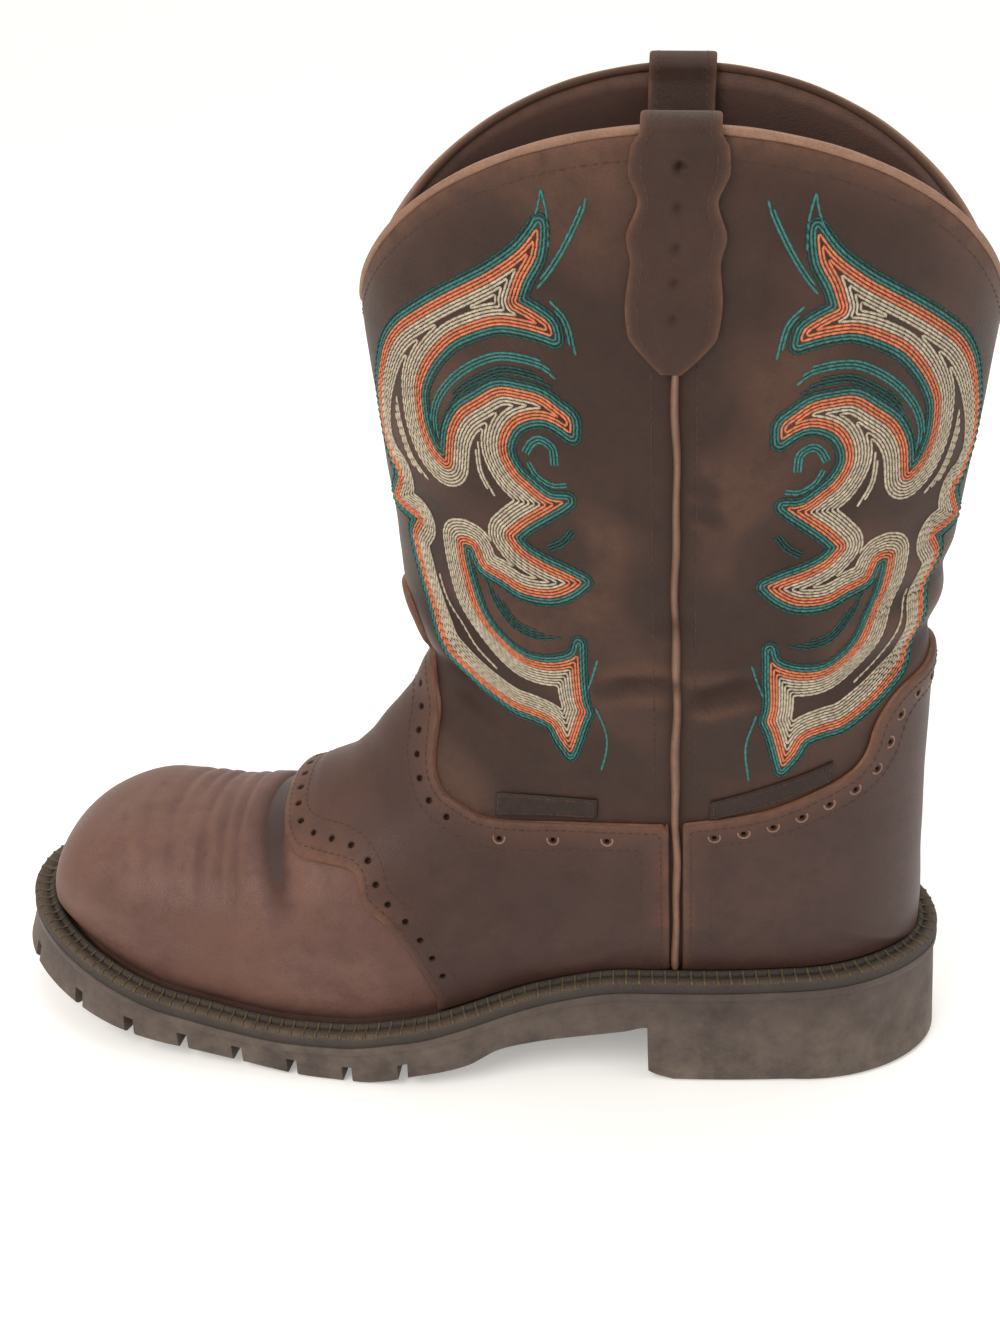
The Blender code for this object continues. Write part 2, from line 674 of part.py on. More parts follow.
def make_lug_cutter(cutters):
    """Notches between the lugs, grooves that join them, and grooves in the heel."""
    bm = bmesh.new()
    past = CUTTER_REACH / 4
    for station in lug_places():
        for side in (-1, 1):
            points, ways = outline(side, [station])
            place = points[0] + ways[0] * (past - LUG_NOTCH_DEPTH) / 2
            middle = float(tread_height(points[0, 0])) + (LUG_NOTCH_HEIGHT - past) / 2
            size = (LUG_NOTCH_DEPTH + past, LUG_GAP, LUG_NOTCH_HEIGHT + past)
            box_cutter(bm, (*place, middle), size, ways[0])
    for station in HEEL_GROOVES:
        centre = (float(x_at(station)), 0.0, 0.0)
        box_cutter(bm, centre, (GROOVE_LENGTH, LUG_GAP, 2 * TREAD_DEPTH), (0.0, 1.0))
    for station in lug_places()[:-2]:
        x = float(x_at(station + 0.5 * LUG_PITCH / SOLE_LENGTH))
        centre = (x, float(swing(x)), float(tread_height(x)))
        box_cutter(bm, centre, (GROOVE_LENGTH, LUG_GAP, 2 * TREAD_DEPTH), (0.0, 1.0))
    cutter = mesh_object("lug_cutter", bm, cutters)
    hide_cutter(cutter)
    return cutter


def feather_loop(out, height, count):
    """Closed loop a distance outside the line where the upper stands on the welt."""
    x = feather_x(np.linspace(0, 1, count + 1))
    sides = []
    for side in (-1, 1):
        y, way = feather_y(x, side)
        points = np.stack([x, y], 1) + way * np.asarray(out).reshape(-1, 1)
        sides.append(points)
    lateral, medial = sides
    ends = (lateral[[0, -1]] + medial[[0, -1]]) / 2
    lateral[[0, -1]] = ends
    flat = np.concatenate([lateral, medial[-2:0:-1]])
    return np.column_stack([flat, height(flat[:, 0])])


def make_welt(parts, finish):
    """Leather strip round the upper, on top of the sole's rim."""
    reach = margin(station_at(feather_x(np.linspace(0, 1, WELT_STEPS + 1)))) - CLEARANCE
    bm = bmesh.new()
    profile = [
        (WELT_GAP, CLEARANCE),
        (WELT_GAP, WELT_THICKNESS),
        (reach - WELT_EDGE, WELT_THICKNESS),
        (reach, WELT_THICKNESS - WELT_EDGE),
        (reach, CLEARANCE),
    ]
    rows = loft(bm, [feather_loop(out, lambda x: rim_height(x) + up, WELT_STEPS) for out, up in profile])
    count = len(rows[0])
    for i in range(count):
        j = (i + 1) % count
        bm.faces.new((rows[-1][i], rows[-1][j], rows[0][j], rows[0][i]))
    return mesh_object("welt", bm, parts, finish)


def make_insole(parts, finish):
    """Flat sheet inside the upper, on top of the sole."""
    lifts = (INSOLE_GAP, INSOLE_GAP + INSOLE_THICKNESS)
    bm = bmesh.new()
    flat = feather_loop(-LEATHER - INSOLE_GAP, rim_height, FOOT_RINGS)
    rows = loft(bm, [flat + np.array([0.0, 0.0, lift]) for lift in lifts])
    half = FOOT_RINGS
    for row in rows:
        lateral = row[: half + 1]
        medial = [row[0]] + row[: half : -1] + [row[half]]
        for i in range(half):
            corners = [lateral[i], lateral[i + 1], medial[i + 1], medial[i]]
            kept = [v for k, v in enumerate(corners) if v not in corners[:k]]
            bm.faces.new(kept)
    bmesh.ops.triangulate(bm, faces=bm.faces)
    return mesh_object("insole", bm, parts, finish)


def upper_surface(bm, skirt):
    """Outer face of the upper, with an upright edge inside the welt if skirt is set."""
    foot, leg = upper_grid(UPPER_COLUMNS, FOOT_RINGS, LEG_RINGS)
    rings = [np.array(ring) for ring in foot + leg]
    rows = []
    for i, ring in enumerate(rings):
        if i >= FOOT_RINGS:
            ring[-1] = ring[0]
        rows.append([bm.verts.new(point) for point in ring])
    for low, high in zip(rows, rows[1:]):
        for j in range(UPPER_COLUMNS):
            bm.faces.new((low[j], low[j + 1], high[j + 1], high[j]))
    if skirt:
        depth = WELT_THICKNESS - 2.5 * CLEARANCE
        for end in (0, -1):
            top = [row[end] for row in rows[: FOOT_RINGS + 1]]
            low = [bm.verts.new((v.co.x, v.co.y, v.co.z - depth)) for v in top]
            for i in range(FOOT_RINGS):
                bm.faces.new((top[i], top[i + 1], low[i + 1], low[i]))
    bmesh.ops.remove_doubles(bm, verts=bm.verts, dist=0.00002)
    bmesh.ops.dissolve_degenerate(bm, edges=bm.edges, dist=0.00002)
    bmesh.ops.triangulate(bm, faces=bm.faces, quad_method="SHORT_EDGE")
    bmesh.ops.recalc_face_normals(bm, faces=bm.faces)
    turn_outwards(bm)


def turn_outwards(bm):
    """An open surface's faces point away from the middle of the boot."""
    total = 0.0
    for face in bm.faces:
        centre = face.calc_center_median()
        total += face.normal.y * centre.y * face.calc_area()
    if total < 0:
        bmesh.ops.reverse_faces(bm, faces=bm.faces)


def open_surface_object(name, bm, collection, finish):
    mesh = bpy.data.meshes.new(name)
    bm.to_mesh(mesh)
    bm.free()
    mesh.shade_smooth()
    mesh.set_sharp_from_angle(angle=0.6)
    made = bpy.data.objects.new(name, mesh)
    collection.objects.link(made)
    made.data.materials.append(finish)
    return made


def make_upper(parts, finish):
    """The hollow upper: its outer face given the leather's thickness inwards."""
    bm = bmesh.new()
    upper_surface(bm, skirt=True)
    upper = open_surface_object("upper", bm, parts, finish)
    wall = upper.modifiers.new("Wall", "SOLIDIFY")
    wall.thickness = LEATHER
    wall.offset = -1.0
    return upper


def overlay_cutter(name, edge, cutters):
    """Upright block through the boot, with the overlay's outline in side view."""
    bm = bmesh.new()
    reach = BALL_WIDTH
    sides = [[bm.verts.new((x, y, z)) for x, z in edge] for y in (-reach, reach)]
    count = len(edge)
    for i in range(count):
        j = (i + 1) % count
        bm.faces.new((sides[0][i], sides[0][j], sides[1][j], sides[1][i]))
    bm.faces.new(sides[0])
    bm.faces.new(sides[1][::-1])
    bmesh.ops.triangulate(bm, faces=bm.faces)
    cutter = mesh_object(name, bm, cutters)
    hide_cutter(cutter)
    return cutter


def edge_points(rows):
    """Places in side view of an overlay's edge."""
    rear_z = float(welt_top(feather_ends()[0]))
    height = throat()[1] - rear_z
    return [(float(x_at(row.along)), rear_z + row.up * height) for row in rows]


def sole_side(first_x, last_x):
    """Places just above the welt, from one place along the boot to another."""
    run = np.linspace(first_x, last_x, 12)
    return [(float(x), float(welt_top(x)) + CLEARANCE) for x in run]


def seam_foot():
    """Height at which the side seams end above the welt."""
    return float(welt_top(seam_x(HEEL_HEIGHT))) + CLEARANCE


def seam_side(way, start, end):
    """Places beside the side seam's piping, from one height to another."""
    offset = way * (PIPING_WIDTH / 2 + 2 * CLEARANCE)
    run = np.linspace(start, end, 5)
    return [(float(seam_x(z)) + offset, float(z)) for z in run]


def make_overlay(name, edge, parts, cutters, finish):
    """Leather laid over the upper: a shell just outside it, cut to its outline."""
    bm = bmesh.new()
    upper_surface(bm, skirt=False)
    for vert in bm.verts:
        vert.normal_update()
    moved = [vert.co + vert.normal * CLEARANCE for vert in bm.verts]
    for vert, place in zip(bm.verts, moved):
        vert.co = place
    overlay = open_surface_object(name, bm, parts, finish)
    layer = overlay.modifiers.new("Layer", "SOLIDIFY")
    layer.thickness = OVERLAY
    layer.offset = 1.0
    boolean(overlay, overlay_cutter(name + "_cutter", edge, cutters), "INTERSECT")
    return overlay


def saddle_edge():
    """Outline of the saddle: up its front edge, round its tongue and down the seam."""
    front = edge_points(SADDLE_FRONT)
    top = edge_points(SADDLE_TOP)
    seam = seam_side(-1, top[-1][1], seam_foot())
    over_front = [
        (front[-1][0] - CUTTER_REACH, front[-1][1] + 2 * CUTTER_REACH),
        (top[0][0] - CUTTER_REACH, top[0][1]),
    ]
    bottom = sole_side(seam[-1][0], front[0][0])
    return front + over_front + top[:-1] + seam[:-1] + bottom


def counter_edge():
    """Outline of the counter: down the seam, round the heel and along its top edge."""
    top = edge_points(COUNTER_TOP)
    seam = seam_side(1, seam_foot(), top[0][1])
    past = x_at(0) + CUTTER_REACH
    bottom = sole_side(x_at(0), seam[0][0])
    beyond = [(past, top[-1][1]), (past, bottom[0][1])]
    return seam + top[1:] + beyond + bottom[:-1]


def tube_loop(bm, rings):
    """Closed tube from rings of points that go right round."""
    rows = [[bm.verts.new(point) for point in ring] for ring in rings]
    for ring, after in zip(rows, rows[1:] + rows[:1]):
        count = len(ring)
        for i in range(count):
            j = (i + 1) % count
            bm.faces.new((ring[i], ring[j], after[j], after[i]))


def make_binding(parts, finish):
    """Rolled edge on the topline."""
    leg = upper_grid(UPPER_COLUMNS, FOOT_RINGS, LEG_RINGS)[1]
    line = leg[-1][:-1]
    count = len(line)
    rings = []
    for i in range(count):
        before, after = line[i - 1], line[(i + 1) % count]
        run = (after - before) / np.linalg.norm(after - before)
        outward = np.array([run[1], -run[0], 0.0])
        outward /= np.linalg.norm(outward)
        if outward[:2] @ (line[i][:2] - np.array([SHAFT_CENTRE, 0.0])) < 0:
            outward = -outward
        up = np.cross(run, outward)
        up *= np.sign(up[2])
        half_wide = BINDING_WIDTH / 2
        half_high = BINDING_HEIGHT / 2
        centre = line[i] - outward * LEATHER / 2 + up * (CLEARANCE + half_high)
        ring = []
        for turn in np.linspace(0, 2 * pi, 9)[:-1] + pi / 8:
            flat = np.sign(np.cos(turn)) * abs(np.cos(turn)) ** 0.7
            high = np.sign(np.sin(turn)) * abs(np.sin(turn)) ** 0.7
            ring.append(centre + outward * half_wide * flat + up * half_high * high)
        rings.append(ring)
    bm = bmesh.new()
    tube_loop(bm, rings)
    return mesh_object("collar_binding", bm, parts, finish)


def capped_strip(bm, rows):
    """Solid from rings of points along it, closed at both ends."""
    verts = loft(bm, rows)
    bm.faces.new(verts[0])
    bm.faces.new(verts[-1][::-1])


def make_piping(side, name, parts, finish):
    """Raised strip down a side seam, from the pull strap to the welt."""
    top = SHAFT_HEIGHT - STRAP_LENGTH - 3 * CLEARANCE
    low = seam_foot() + PIPING_HEIGHT
    rows = []
    half = PIPING_WIDTH / 2
    for z in np.linspace(low, top, 26):
        x = float(seam_x(z))
        inner = [side_place(x + wide, z, side, 1.5 * CLEARANCE) for wide in (-half, half)]
        outer = [side_place(x + wide, z, side, PIPING_HEIGHT) for wide in (0.6 * half, -0.6 * half)]
        rows.append(inner + outer)
    bm = bmesh.new()
    capped_strip(bm, rows)
    bmesh.ops.triangulate(bm, faces=bm.faces)
    return mesh_object(name, bm, parts, finish)


def strap_path(side, x):
    """Inner face of a strap in one upright plane: up outside, over, and down inside."""
    top = float(topline(x))
    down = np.linspace(STRAP_LENGTH, BINDING_HEIGHT, 13)
    outer = [side_place(x, SHAFT_HEIGHT - d, side, CLEARANCE) for d in down]
    edge = side_place(x, top, side)
    wall = edge[1] - side * LEATHER / 2
    half = BINDING_WIDTH / 2 + STRAP_PLAY
    crest = SHAFT_HEIGHT + STRAP_LOOP_RISE - STRAP_THICKNESS
    spring = SHAFT_HEIGHT + CLEARANCE
    arch = []
    for turn in np.linspace(0, pi, 7):
        y = wall + side * half * np.cos(turn)
        arch.append(np.array([x, y, spring + (crest - spring) * np.sin(turn)]))
    tail = []
    for share in np.linspace(0.12, 1, 4):
        z = spring - share * STRAP_TAIL
        face = side_place(x, min(z, top), side)
        slack = STRAP_SLACK * np.sin(pi * share) + 0.8 * STRAP_PLAY
        tail.append(np.array([x, face[1] - side * (LEATHER + slack), z]))
    return outer + arch + tail, len(outer)


def make_strap(side, name, parts, finish):
    """Pull strap: scalloped outside, looped over the topline and sewn down inside."""
    middle = float(seam_x(SHAFT_HEIGHT - STRAP_LENGTH / 2))
    path, outside = strap_path(side, middle)
    rows = []
    for i, (_, y, z) in enumerate(path):
        down = (SHAFT_HEIGHT - z) / STRAP_LENGTH
        width = float(from_table(STRAP_SCALLOPS, "half_width", down)) if i < outside else 0.5
        across = [middle + share * width * STRAP_WIDTH for share in np.linspace(-1, 1, 5)]
        if i < outside:
            rows.append([side_place(x, z, side, CLEARANCE) for x in across])
        else:
            rows.append([np.array([x, y, z]) for x in across])
    bm = bmesh.new()
    loft(bm, rows, closed=False)
    bmesh.ops.recalc_face_normals(bm, faces=bm.faces)
    bm.faces.ensure_lookup_table()
    if bm.faces[0].normal.y * side < 0:
        bmesh.ops.reverse_faces(bm, faces=bm.faces)
    strap = open_surface_object(name, bm, parts, finish)
    layer = strap.modifiers.new("Layer", "SOLIDIFY")
    layer.thickness = STRAP_THICKNESS
    layer.offset = 1.0
    return strap


def make_tab(name, length, middle, slope, parts, finish):
    """Small plain tab on the outer side, above an overlay's edge."""
    rows = []
    for share in np.linspace(-0.5, 0.5, 7):
        x = middle[0] + share * length
        z = middle[1] + share * length * slope
        low, high = z - TAB_HEIGHT / 2, z + TAB_HEIGHT / 2
        inner = [side_place(x, height, -1, CLEARANCE) for height in (low, high)]
        outer = [side_place(x, height, -1, CLEARANCE + TAB_THICKNESS) for height in (high, low)]
        rows.append(inner + outer)
    bm = bmesh.new()
    capped_strip(bm, rows)
    bmesh.ops.triangulate(bm, faces=bm.faces)
    return mesh_object(name, bm, parts, finish)


def make_tabs(parts, finish):
    """Tabs that sit just above the saddle's and the counter's top edges."""
    over = TAB_RISE + TAB_HEIGHT / 2
    low, high = edge_points(SADDLE_TOP)[-3:-1]
    x = float(seam_x(high[1])) - TAB_SETBACK - FRONT_TAB_LENGTH / 2
    z = low[1] + (high[1] - low[1]) * (x - low[0]) / (high[0] - low[0]) + over
    make_tab("side_tab_front", FRONT_TAB_LENGTH, (x, z), 0.0, parts, finish)
    rise = edge_points(COUNTER_TOP)[:4]
    slope = (rise[3][1] - rise[1][1]) / (rise[3][0] - rise[1][0])
    middle = (rise[2][0] - TAB_RISE, rise[2][1] + over)
    make_tab("side_tab_back", BACK_TAB_LENGTH, middle, slope, parts, finish)


def main():
    for old in list(bpy.data.objects):
        bpy.data.objects.remove(old, do_unlink=True)
    parts = new_collection("western_work_boot")
    cutters = new_collection("cutters")
    vamp = material("vamp_leather", (0.105, 0.056, 0.044), 0.5)
    overlay = material("overlay_leather", (0.075, 0.040, 0.032), 0.48)
    edging = material("edge_leather", (0.27, 0.17, 0.12), 0.6)
    rubber = material("sole_rubber", (0.13, 0.105, 0.085), 0.75)
    welting = material("welt_leather", (0.045, 0.028, 0.022), 0.7)
    lining = material("insole_fabric", (0.06, 0.045, 0.038), 0.9)
    make_outsole(parts, cutters, rubber)
    make_welt(parts, welting)
    make_insole(parts, lining)
    make_upper(parts, vamp)
    make_overlay("saddle", saddle_edge(), parts, cutters, overlay)
    make_overlay("counter", counter_edge(), parts, cutters, overlay)
    make_binding(parts, edging)
    for side, name in ((-1, "outer"), (1, "inner")):
        make_piping(side, "piping_" + name, parts, edging)
        make_strap(side, "pull_strap_" + name, parts, overlay)
    make_tabs(parts, welting)


main()
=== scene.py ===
"""Finish of the western work boot: creased leather, overlays, stitching, trim and sole.

Laid out as an add-on and run as a script. Metres, +Z up. The toe points along -X and
the outer side of the foot faces -Y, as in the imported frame.
"""

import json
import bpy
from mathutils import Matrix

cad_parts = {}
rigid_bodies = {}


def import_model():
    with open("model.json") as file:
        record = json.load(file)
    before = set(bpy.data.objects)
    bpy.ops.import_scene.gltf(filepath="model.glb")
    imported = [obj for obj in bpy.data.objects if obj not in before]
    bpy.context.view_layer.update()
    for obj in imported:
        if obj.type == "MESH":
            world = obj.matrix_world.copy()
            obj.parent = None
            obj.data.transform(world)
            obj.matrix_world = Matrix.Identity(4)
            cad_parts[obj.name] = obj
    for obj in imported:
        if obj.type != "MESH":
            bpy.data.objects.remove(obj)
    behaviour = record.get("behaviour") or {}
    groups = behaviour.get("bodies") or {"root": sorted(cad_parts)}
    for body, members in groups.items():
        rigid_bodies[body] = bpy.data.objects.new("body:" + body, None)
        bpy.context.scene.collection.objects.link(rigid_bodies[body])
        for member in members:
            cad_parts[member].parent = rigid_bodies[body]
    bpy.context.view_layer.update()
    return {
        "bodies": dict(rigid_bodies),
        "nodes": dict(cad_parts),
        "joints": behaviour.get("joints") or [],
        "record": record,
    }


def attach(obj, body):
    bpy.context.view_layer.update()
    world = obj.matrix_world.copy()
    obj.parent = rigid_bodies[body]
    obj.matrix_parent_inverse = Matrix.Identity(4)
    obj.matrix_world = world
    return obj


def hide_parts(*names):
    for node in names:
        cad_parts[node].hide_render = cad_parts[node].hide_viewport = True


bl_info = {
    "name": "Western Work Boot Finish",
    "version": (1, 0, 0),
    "blender": (4, 5, 0),
    "location": "3D View > Sidebar > Boot",
    "description": "Leather, stitching, trim and sole finish of a western work boot",
    "category": "Object",
}

from collections import defaultdict, namedtuple
from functools import lru_cache
from math import cos, pi, radians, sin

import bmesh
import bpy
import numpy as np
from mathutils import Matrix, Vector, kdtree

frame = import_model()

MM = 0.001

# Sizes of the boot, as in the part's source
SOLE_LENGTH = 316.5 * MM
HEEL_BEHIND_ORIGIN = 39.5 * MM
BALL_WIDTH = 108 * MM
HEEL_WIDTH = 80 * MM
HEEL_HEIGHT = 40 * MM
FOREFOOT_THICKNESS = 15 * MM
TOE_SPRING = 18 * MM
TOE_SWING = 5 * MM
HEEL_ROUND = 48 * MM
TOE_ROUND = 64 * MM
LIP_HEIGHT = 3 * MM
LIP_STEP = 0.8 * MM
WALL_TAPER = 1.6 * MM
TOE_FLARE = 3.4 * MM
HEEL_FLARE = 2.5 * MM
EDGE_BEVEL = 1.5 * MM
TREAD_START = 0.558
TREAD_END = 0.985
LUG_PITCH = 19 * MM
LUG_GAP = 3.4 * MM
LUG_NOTCH_DEPTH = 9 * MM
LUG_NOTCH_HEIGHT = 7 * MM
TREAD_DEPTH = 3.5 * MM
GROOVE_LENGTH = 44 * MM
HEEL_GROOVES = (0.055, 0.175, 0.245)
WELT_THICKNESS = 4.5 * MM
WELT_GAP = 0.7 * MM
BALL_MARGIN = 10.2 * MM
HEEL_MARGIN = 9.1 * MM
INSOLE_THICKNESS = 3 * MM
INSOLE_GAP = 0.5 * MM
LEATHER = 2.2 * MM
OVERLAY = 1.8 * MM
CLEARANCE = 0.3 * MM
TOE_BOX_HEIGHT = 44 * MM
INSTEP_HEIGHT = 111 * MM
THROAT_STATION = 0.54
ANKLE_WIDTH = 82 * MM
ANKLE_HOLLOW = 7.1 * MM
SHAFT_HEIGHT = 308.5 * MM
SHAFT_DEPTH = 182.6 * MM
SHAFT_WIDTH = 103 * MM
SHAFT_CENTRE = -57.2 * MM
SCALLOP_DEPTH = 58 * MM
SCALLOP_ROUND = 0.12
SEAM_SETBACK = 2.3 * MM
SEAM_LEAN = 11 * MM
BINDING_WIDTH = 3.2 * MM
BINDING_HEIGHT = 2.0 * MM
PIPING_WIDTH = 3 * MM
PIPING_HEIGHT = 2.2 * MM
STRAP_WIDTH = 20 * MM
STRAP_THICKNESS = 2 * MM
STRAP_LENGTH = 61 * MM
STRAP_LOOP_RISE = 5 * MM
STRAP_TAIL = 42 * MM
STRAP_SLACK = 2.5 * MM
STRAP_PLAY = 1.0 * MM
FRONT_TAB_LENGTH = 32 * MM
BACK_TAB_LENGTH = 36 * MM
TAB_HEIGHT = 6.8 * MM
TAB_THICKNESS = 0.9 * MM
TAB_SETBACK = 24.5 * MM
TAB_RISE = 1.7 * MM

# Fineness of the leather's mesh
COLUMNS = 224
FOOT_RINGS = 180
LEG_RINGS = 150
LINING_STEP = 4

# Fineness of the welt, and how far an overlay's leather is worked out past its edge
WELT_COLUMNS = 190
SHEET_SPARE = 3 * MM
# Columns of an overlay's table that hold the reach inside its edge and off its holes
EDGE_FIELD = 6
HOLE_FIELD = 7

# Places where the leather changes or is rubbed, and where the saddle's front is painted lighter as if lit
# from the front
VAMP_END = 0.56
TOE_RUB = (-0.262, -0.02, 0.045)
SADDLE_PAINTED_LIGHT_X = -0.125
WELT_RUB_HEIGHT = 62 * MM

# Punched holes and rows of stitches, by their distance from the edge or the seam
PUNCH_INSET = 5.5 * MM
SADDLE_PUNCH_PITCH = 7.7 * MM
LEVEL_PUNCH_PITCH = 17 * MM
COUNTER_PUNCH_PITCH = 9 * MM
LEVEL_STATION = 0.50
SEAM_ROOM = 9.5 * MM
RIM_RADIUS = 1.8 * MM
STITCH_INSETS = (2.5 * MM, 8.8 * MM)
SEAM_ROWS = (-6.4 * MM, 5.6 * MM)
SEAM_ROW_SPAN = (113 * MM, 262 * MM)
SHORTEST_ROW = 7 * MM
Sewing = namedtuple("Sewing", "width height stitch dip")
OVERLAY_SEWING = Sewing(0.55 * MM, 0.28 * MM, 2.6 * MM, 0.8)
SHAFT_SEWING = Sewing(0.5 * MM, 0.25 * MM, 2.8 * MM, 0.8)
COLLAR_SEWING = Sewing(0.5 * MM, 0.28 * MM, 2.8 * MM, 0.8)
STRAP_SEWING = Sewing(0.5 * MM, 0.25 * MM, 2.4 * MM, 0.7)
TAB_SEWING = Sewing(0.5 * MM, 0.25 * MM, 2.0 * MM, 0.6)
Hole = namedtuple("Hole", "down depth rim")
STRAP_HOLES = [
    Hole(7.8 * MM, 1.5 * MM, 0.6 * MM),
    Hole(17.8 * MM, 0.8 * MM, 0.1 * MM),
    Hole(28 * MM, 0.8 * MM, 0.1 * MM),
    Hole(36.8 * MM, 0.8 * MM, 0.1 * MM),
    Hole(46.3 * MM, 0.8 * MM, 0.1 * MM),
]
# Heights where the piping is creased shut, lower one first, and how far each crease reaches
PIPING_CREASES = ((0.151, 3 * MM), (0.172, 3.2 * MM))
# The welt from the upper outwards: share of its width, height in millimetres and painted shade, strongest in
# the crevice beside the upper
Lip = namedtuple("Lip", "out up shade")
WELT_PROFILE = [
    Lip(0.10, 0.3, 1.0), Lip(0.10, 1.6, 1.0), Lip(0.16, 3.2, 0.95), Lip(0.24, 4.5, 0.8),
    Lip(0.34, 4.9, 0.55), Lip(0.44, 4.4, 0.5), Lip(0.50, 3.7, 0.75), Lip(0.58, 3.9, 0.5),
    Lip(0.70, 4.3, 0.15), Lip(0.86, 4.3, 0.0), Lip(0.95, 3.8, 0.1), Lip(1.0, 3.0, 0.5),
    Lip(1.0, 0.3, 0.9),
]
# One stitch of the welt, from the groove outwards: share of its length and height in millimetres
WELT_STITCH = [
    (0.02, 4.7), (0.14, 4.7), (0.28, 4.1), (0.42, 4.0), (0.6, 4.2), (0.8, 4.3), (0.9, 4.1), (0.95, 3.6),
]

# Lights, with their share of the window light's power, and the camera
Light = namedtuple("Light", "name place size share colour")
LIGHTS = [
    Light("key", (-0.75, -0.85, 1.15), 0.9, 1.0, (1.0, 0.97, 0.93)),
    Light("fill", (1.05, -0.35, 0.45), 0.7, 0.2, (0.94, 0.97, 1.0)),
    Light("top", (0.0, 0.3, 1.5), 1.0, 0.5, (1.0, 0.98, 0.96)),
]
LIGHT_AIM = Vector((-0.08, 0, 0.13))
CAMERA_PLACE = Vector((-0.059, -0.4799, 0.3865))
CAMERA_TURN = (5.98, 27.89, -0.49)
PHOTO_HEIGHT = 1333
FOCUS = 1687
SENSOR_WIDTH = 36.0

# Half widths of the sole on the outer (lateral) and inner (medial) side
Plan = namedtuple("Plan", "station lateral medial")
PLAN = [
    Plan(0.00, 0.430 * HEEL_WIDTH, 0.520 * HEEL_WIDTH),
    Plan(0.12, 0.500 * HEEL_WIDTH, 0.510 * HEEL_WIDTH),
    Plan(0.25, 0.555 * HEEL_WIDTH, 0.475 * HEEL_WIDTH),
    Plan(0.40, 0.431 * BALL_WIDTH, 0.329 * BALL_WIDTH),
    Plan(0.55, 0.525 * BALL_WIDTH, 0.401 * BALL_WIDTH),
    Plan(0.65, 0.510 * BALL_WIDTH, 0.483 * BALL_WIDTH),
    Plan(0.75, 0.486 * BALL_WIDTH, 0.513 * BALL_WIDTH),
    Plan(0.88, 0.463 * BALL_WIDTH, 0.488 * BALL_WIDTH),
    Plan(1.00, 0.400 * BALL_WIDTH, 0.402 * BALL_WIDTH),
]
Rim = namedtuple("Rim", "station height")
RIM = [
    Rim(0.00, HEEL_HEIGHT),
    Rim(0.10, 0.98 * HEEL_HEIGHT),
    Rim(0.22, 0.95 * HEEL_HEIGHT),
    Rim(0.33, 0.93 * HEEL_HEIGHT),
    Rim(0.42, 0.78 * HEEL_HEIGHT),
    Rim(0.50, 0.61 * HEEL_HEIGHT),
    Rim(0.56, 0.25 * HEEL_HEIGHT + 0.65 * FOREFOOT_THICKNESS),
    Rim(0.62, 1.05 * FOREFOOT_THICKNESS),
    Rim(0.68, FOREFOOT_THICKNESS),
    Rim(0.80, FOREFOOT_THICKNESS + 0.29 * TOE_SPRING),
    Rim(0.90, 1.15 * FOREFOOT_THICKNESS + 0.63 * TOE_SPRING),
    Rim(1.00, 1.20 * FOREFOOT_THICKNESS + TOE_SPRING),
]

BREAST_STATION = 0.302
BREAST_RUN = 0.003
WAIST = [
    Rim(BREAST_STATION - 0.026, 0.0),
    Rim(BREAST_STATION, 0.08 * HEEL_HEIGHT),
    Rim(BREAST_STATION + BREAST_RUN, 0.53 * HEEL_HEIGHT),
    Rim(0.330, 0.48 * HEEL_HEIGHT),
    Rim(0.365, 0.43 * HEEL_HEIGHT),
    Rim(0.420, 0.36 * HEEL_HEIGHT),
    Rim(0.455, 0.32 * HEEL_HEIGHT),
    Rim(0.490, 0.19 * HEEL_HEIGHT),
    Rim(0.545, 0.11 * HEEL_HEIGHT),
    Rim(0.580, 0.03 * HEEL_HEIGHT),
    Rim(0.605, 0.0),
    Rim(0.650, 0.0),
    Rim(0.740, 0.16 * TOE_SPRING),
    Rim(0.848, 0.44 * TOE_SPRING),
    Rim(0.962, 0.84 * TOE_SPRING),
    Rim(1.000, TOE_SPRING),
]

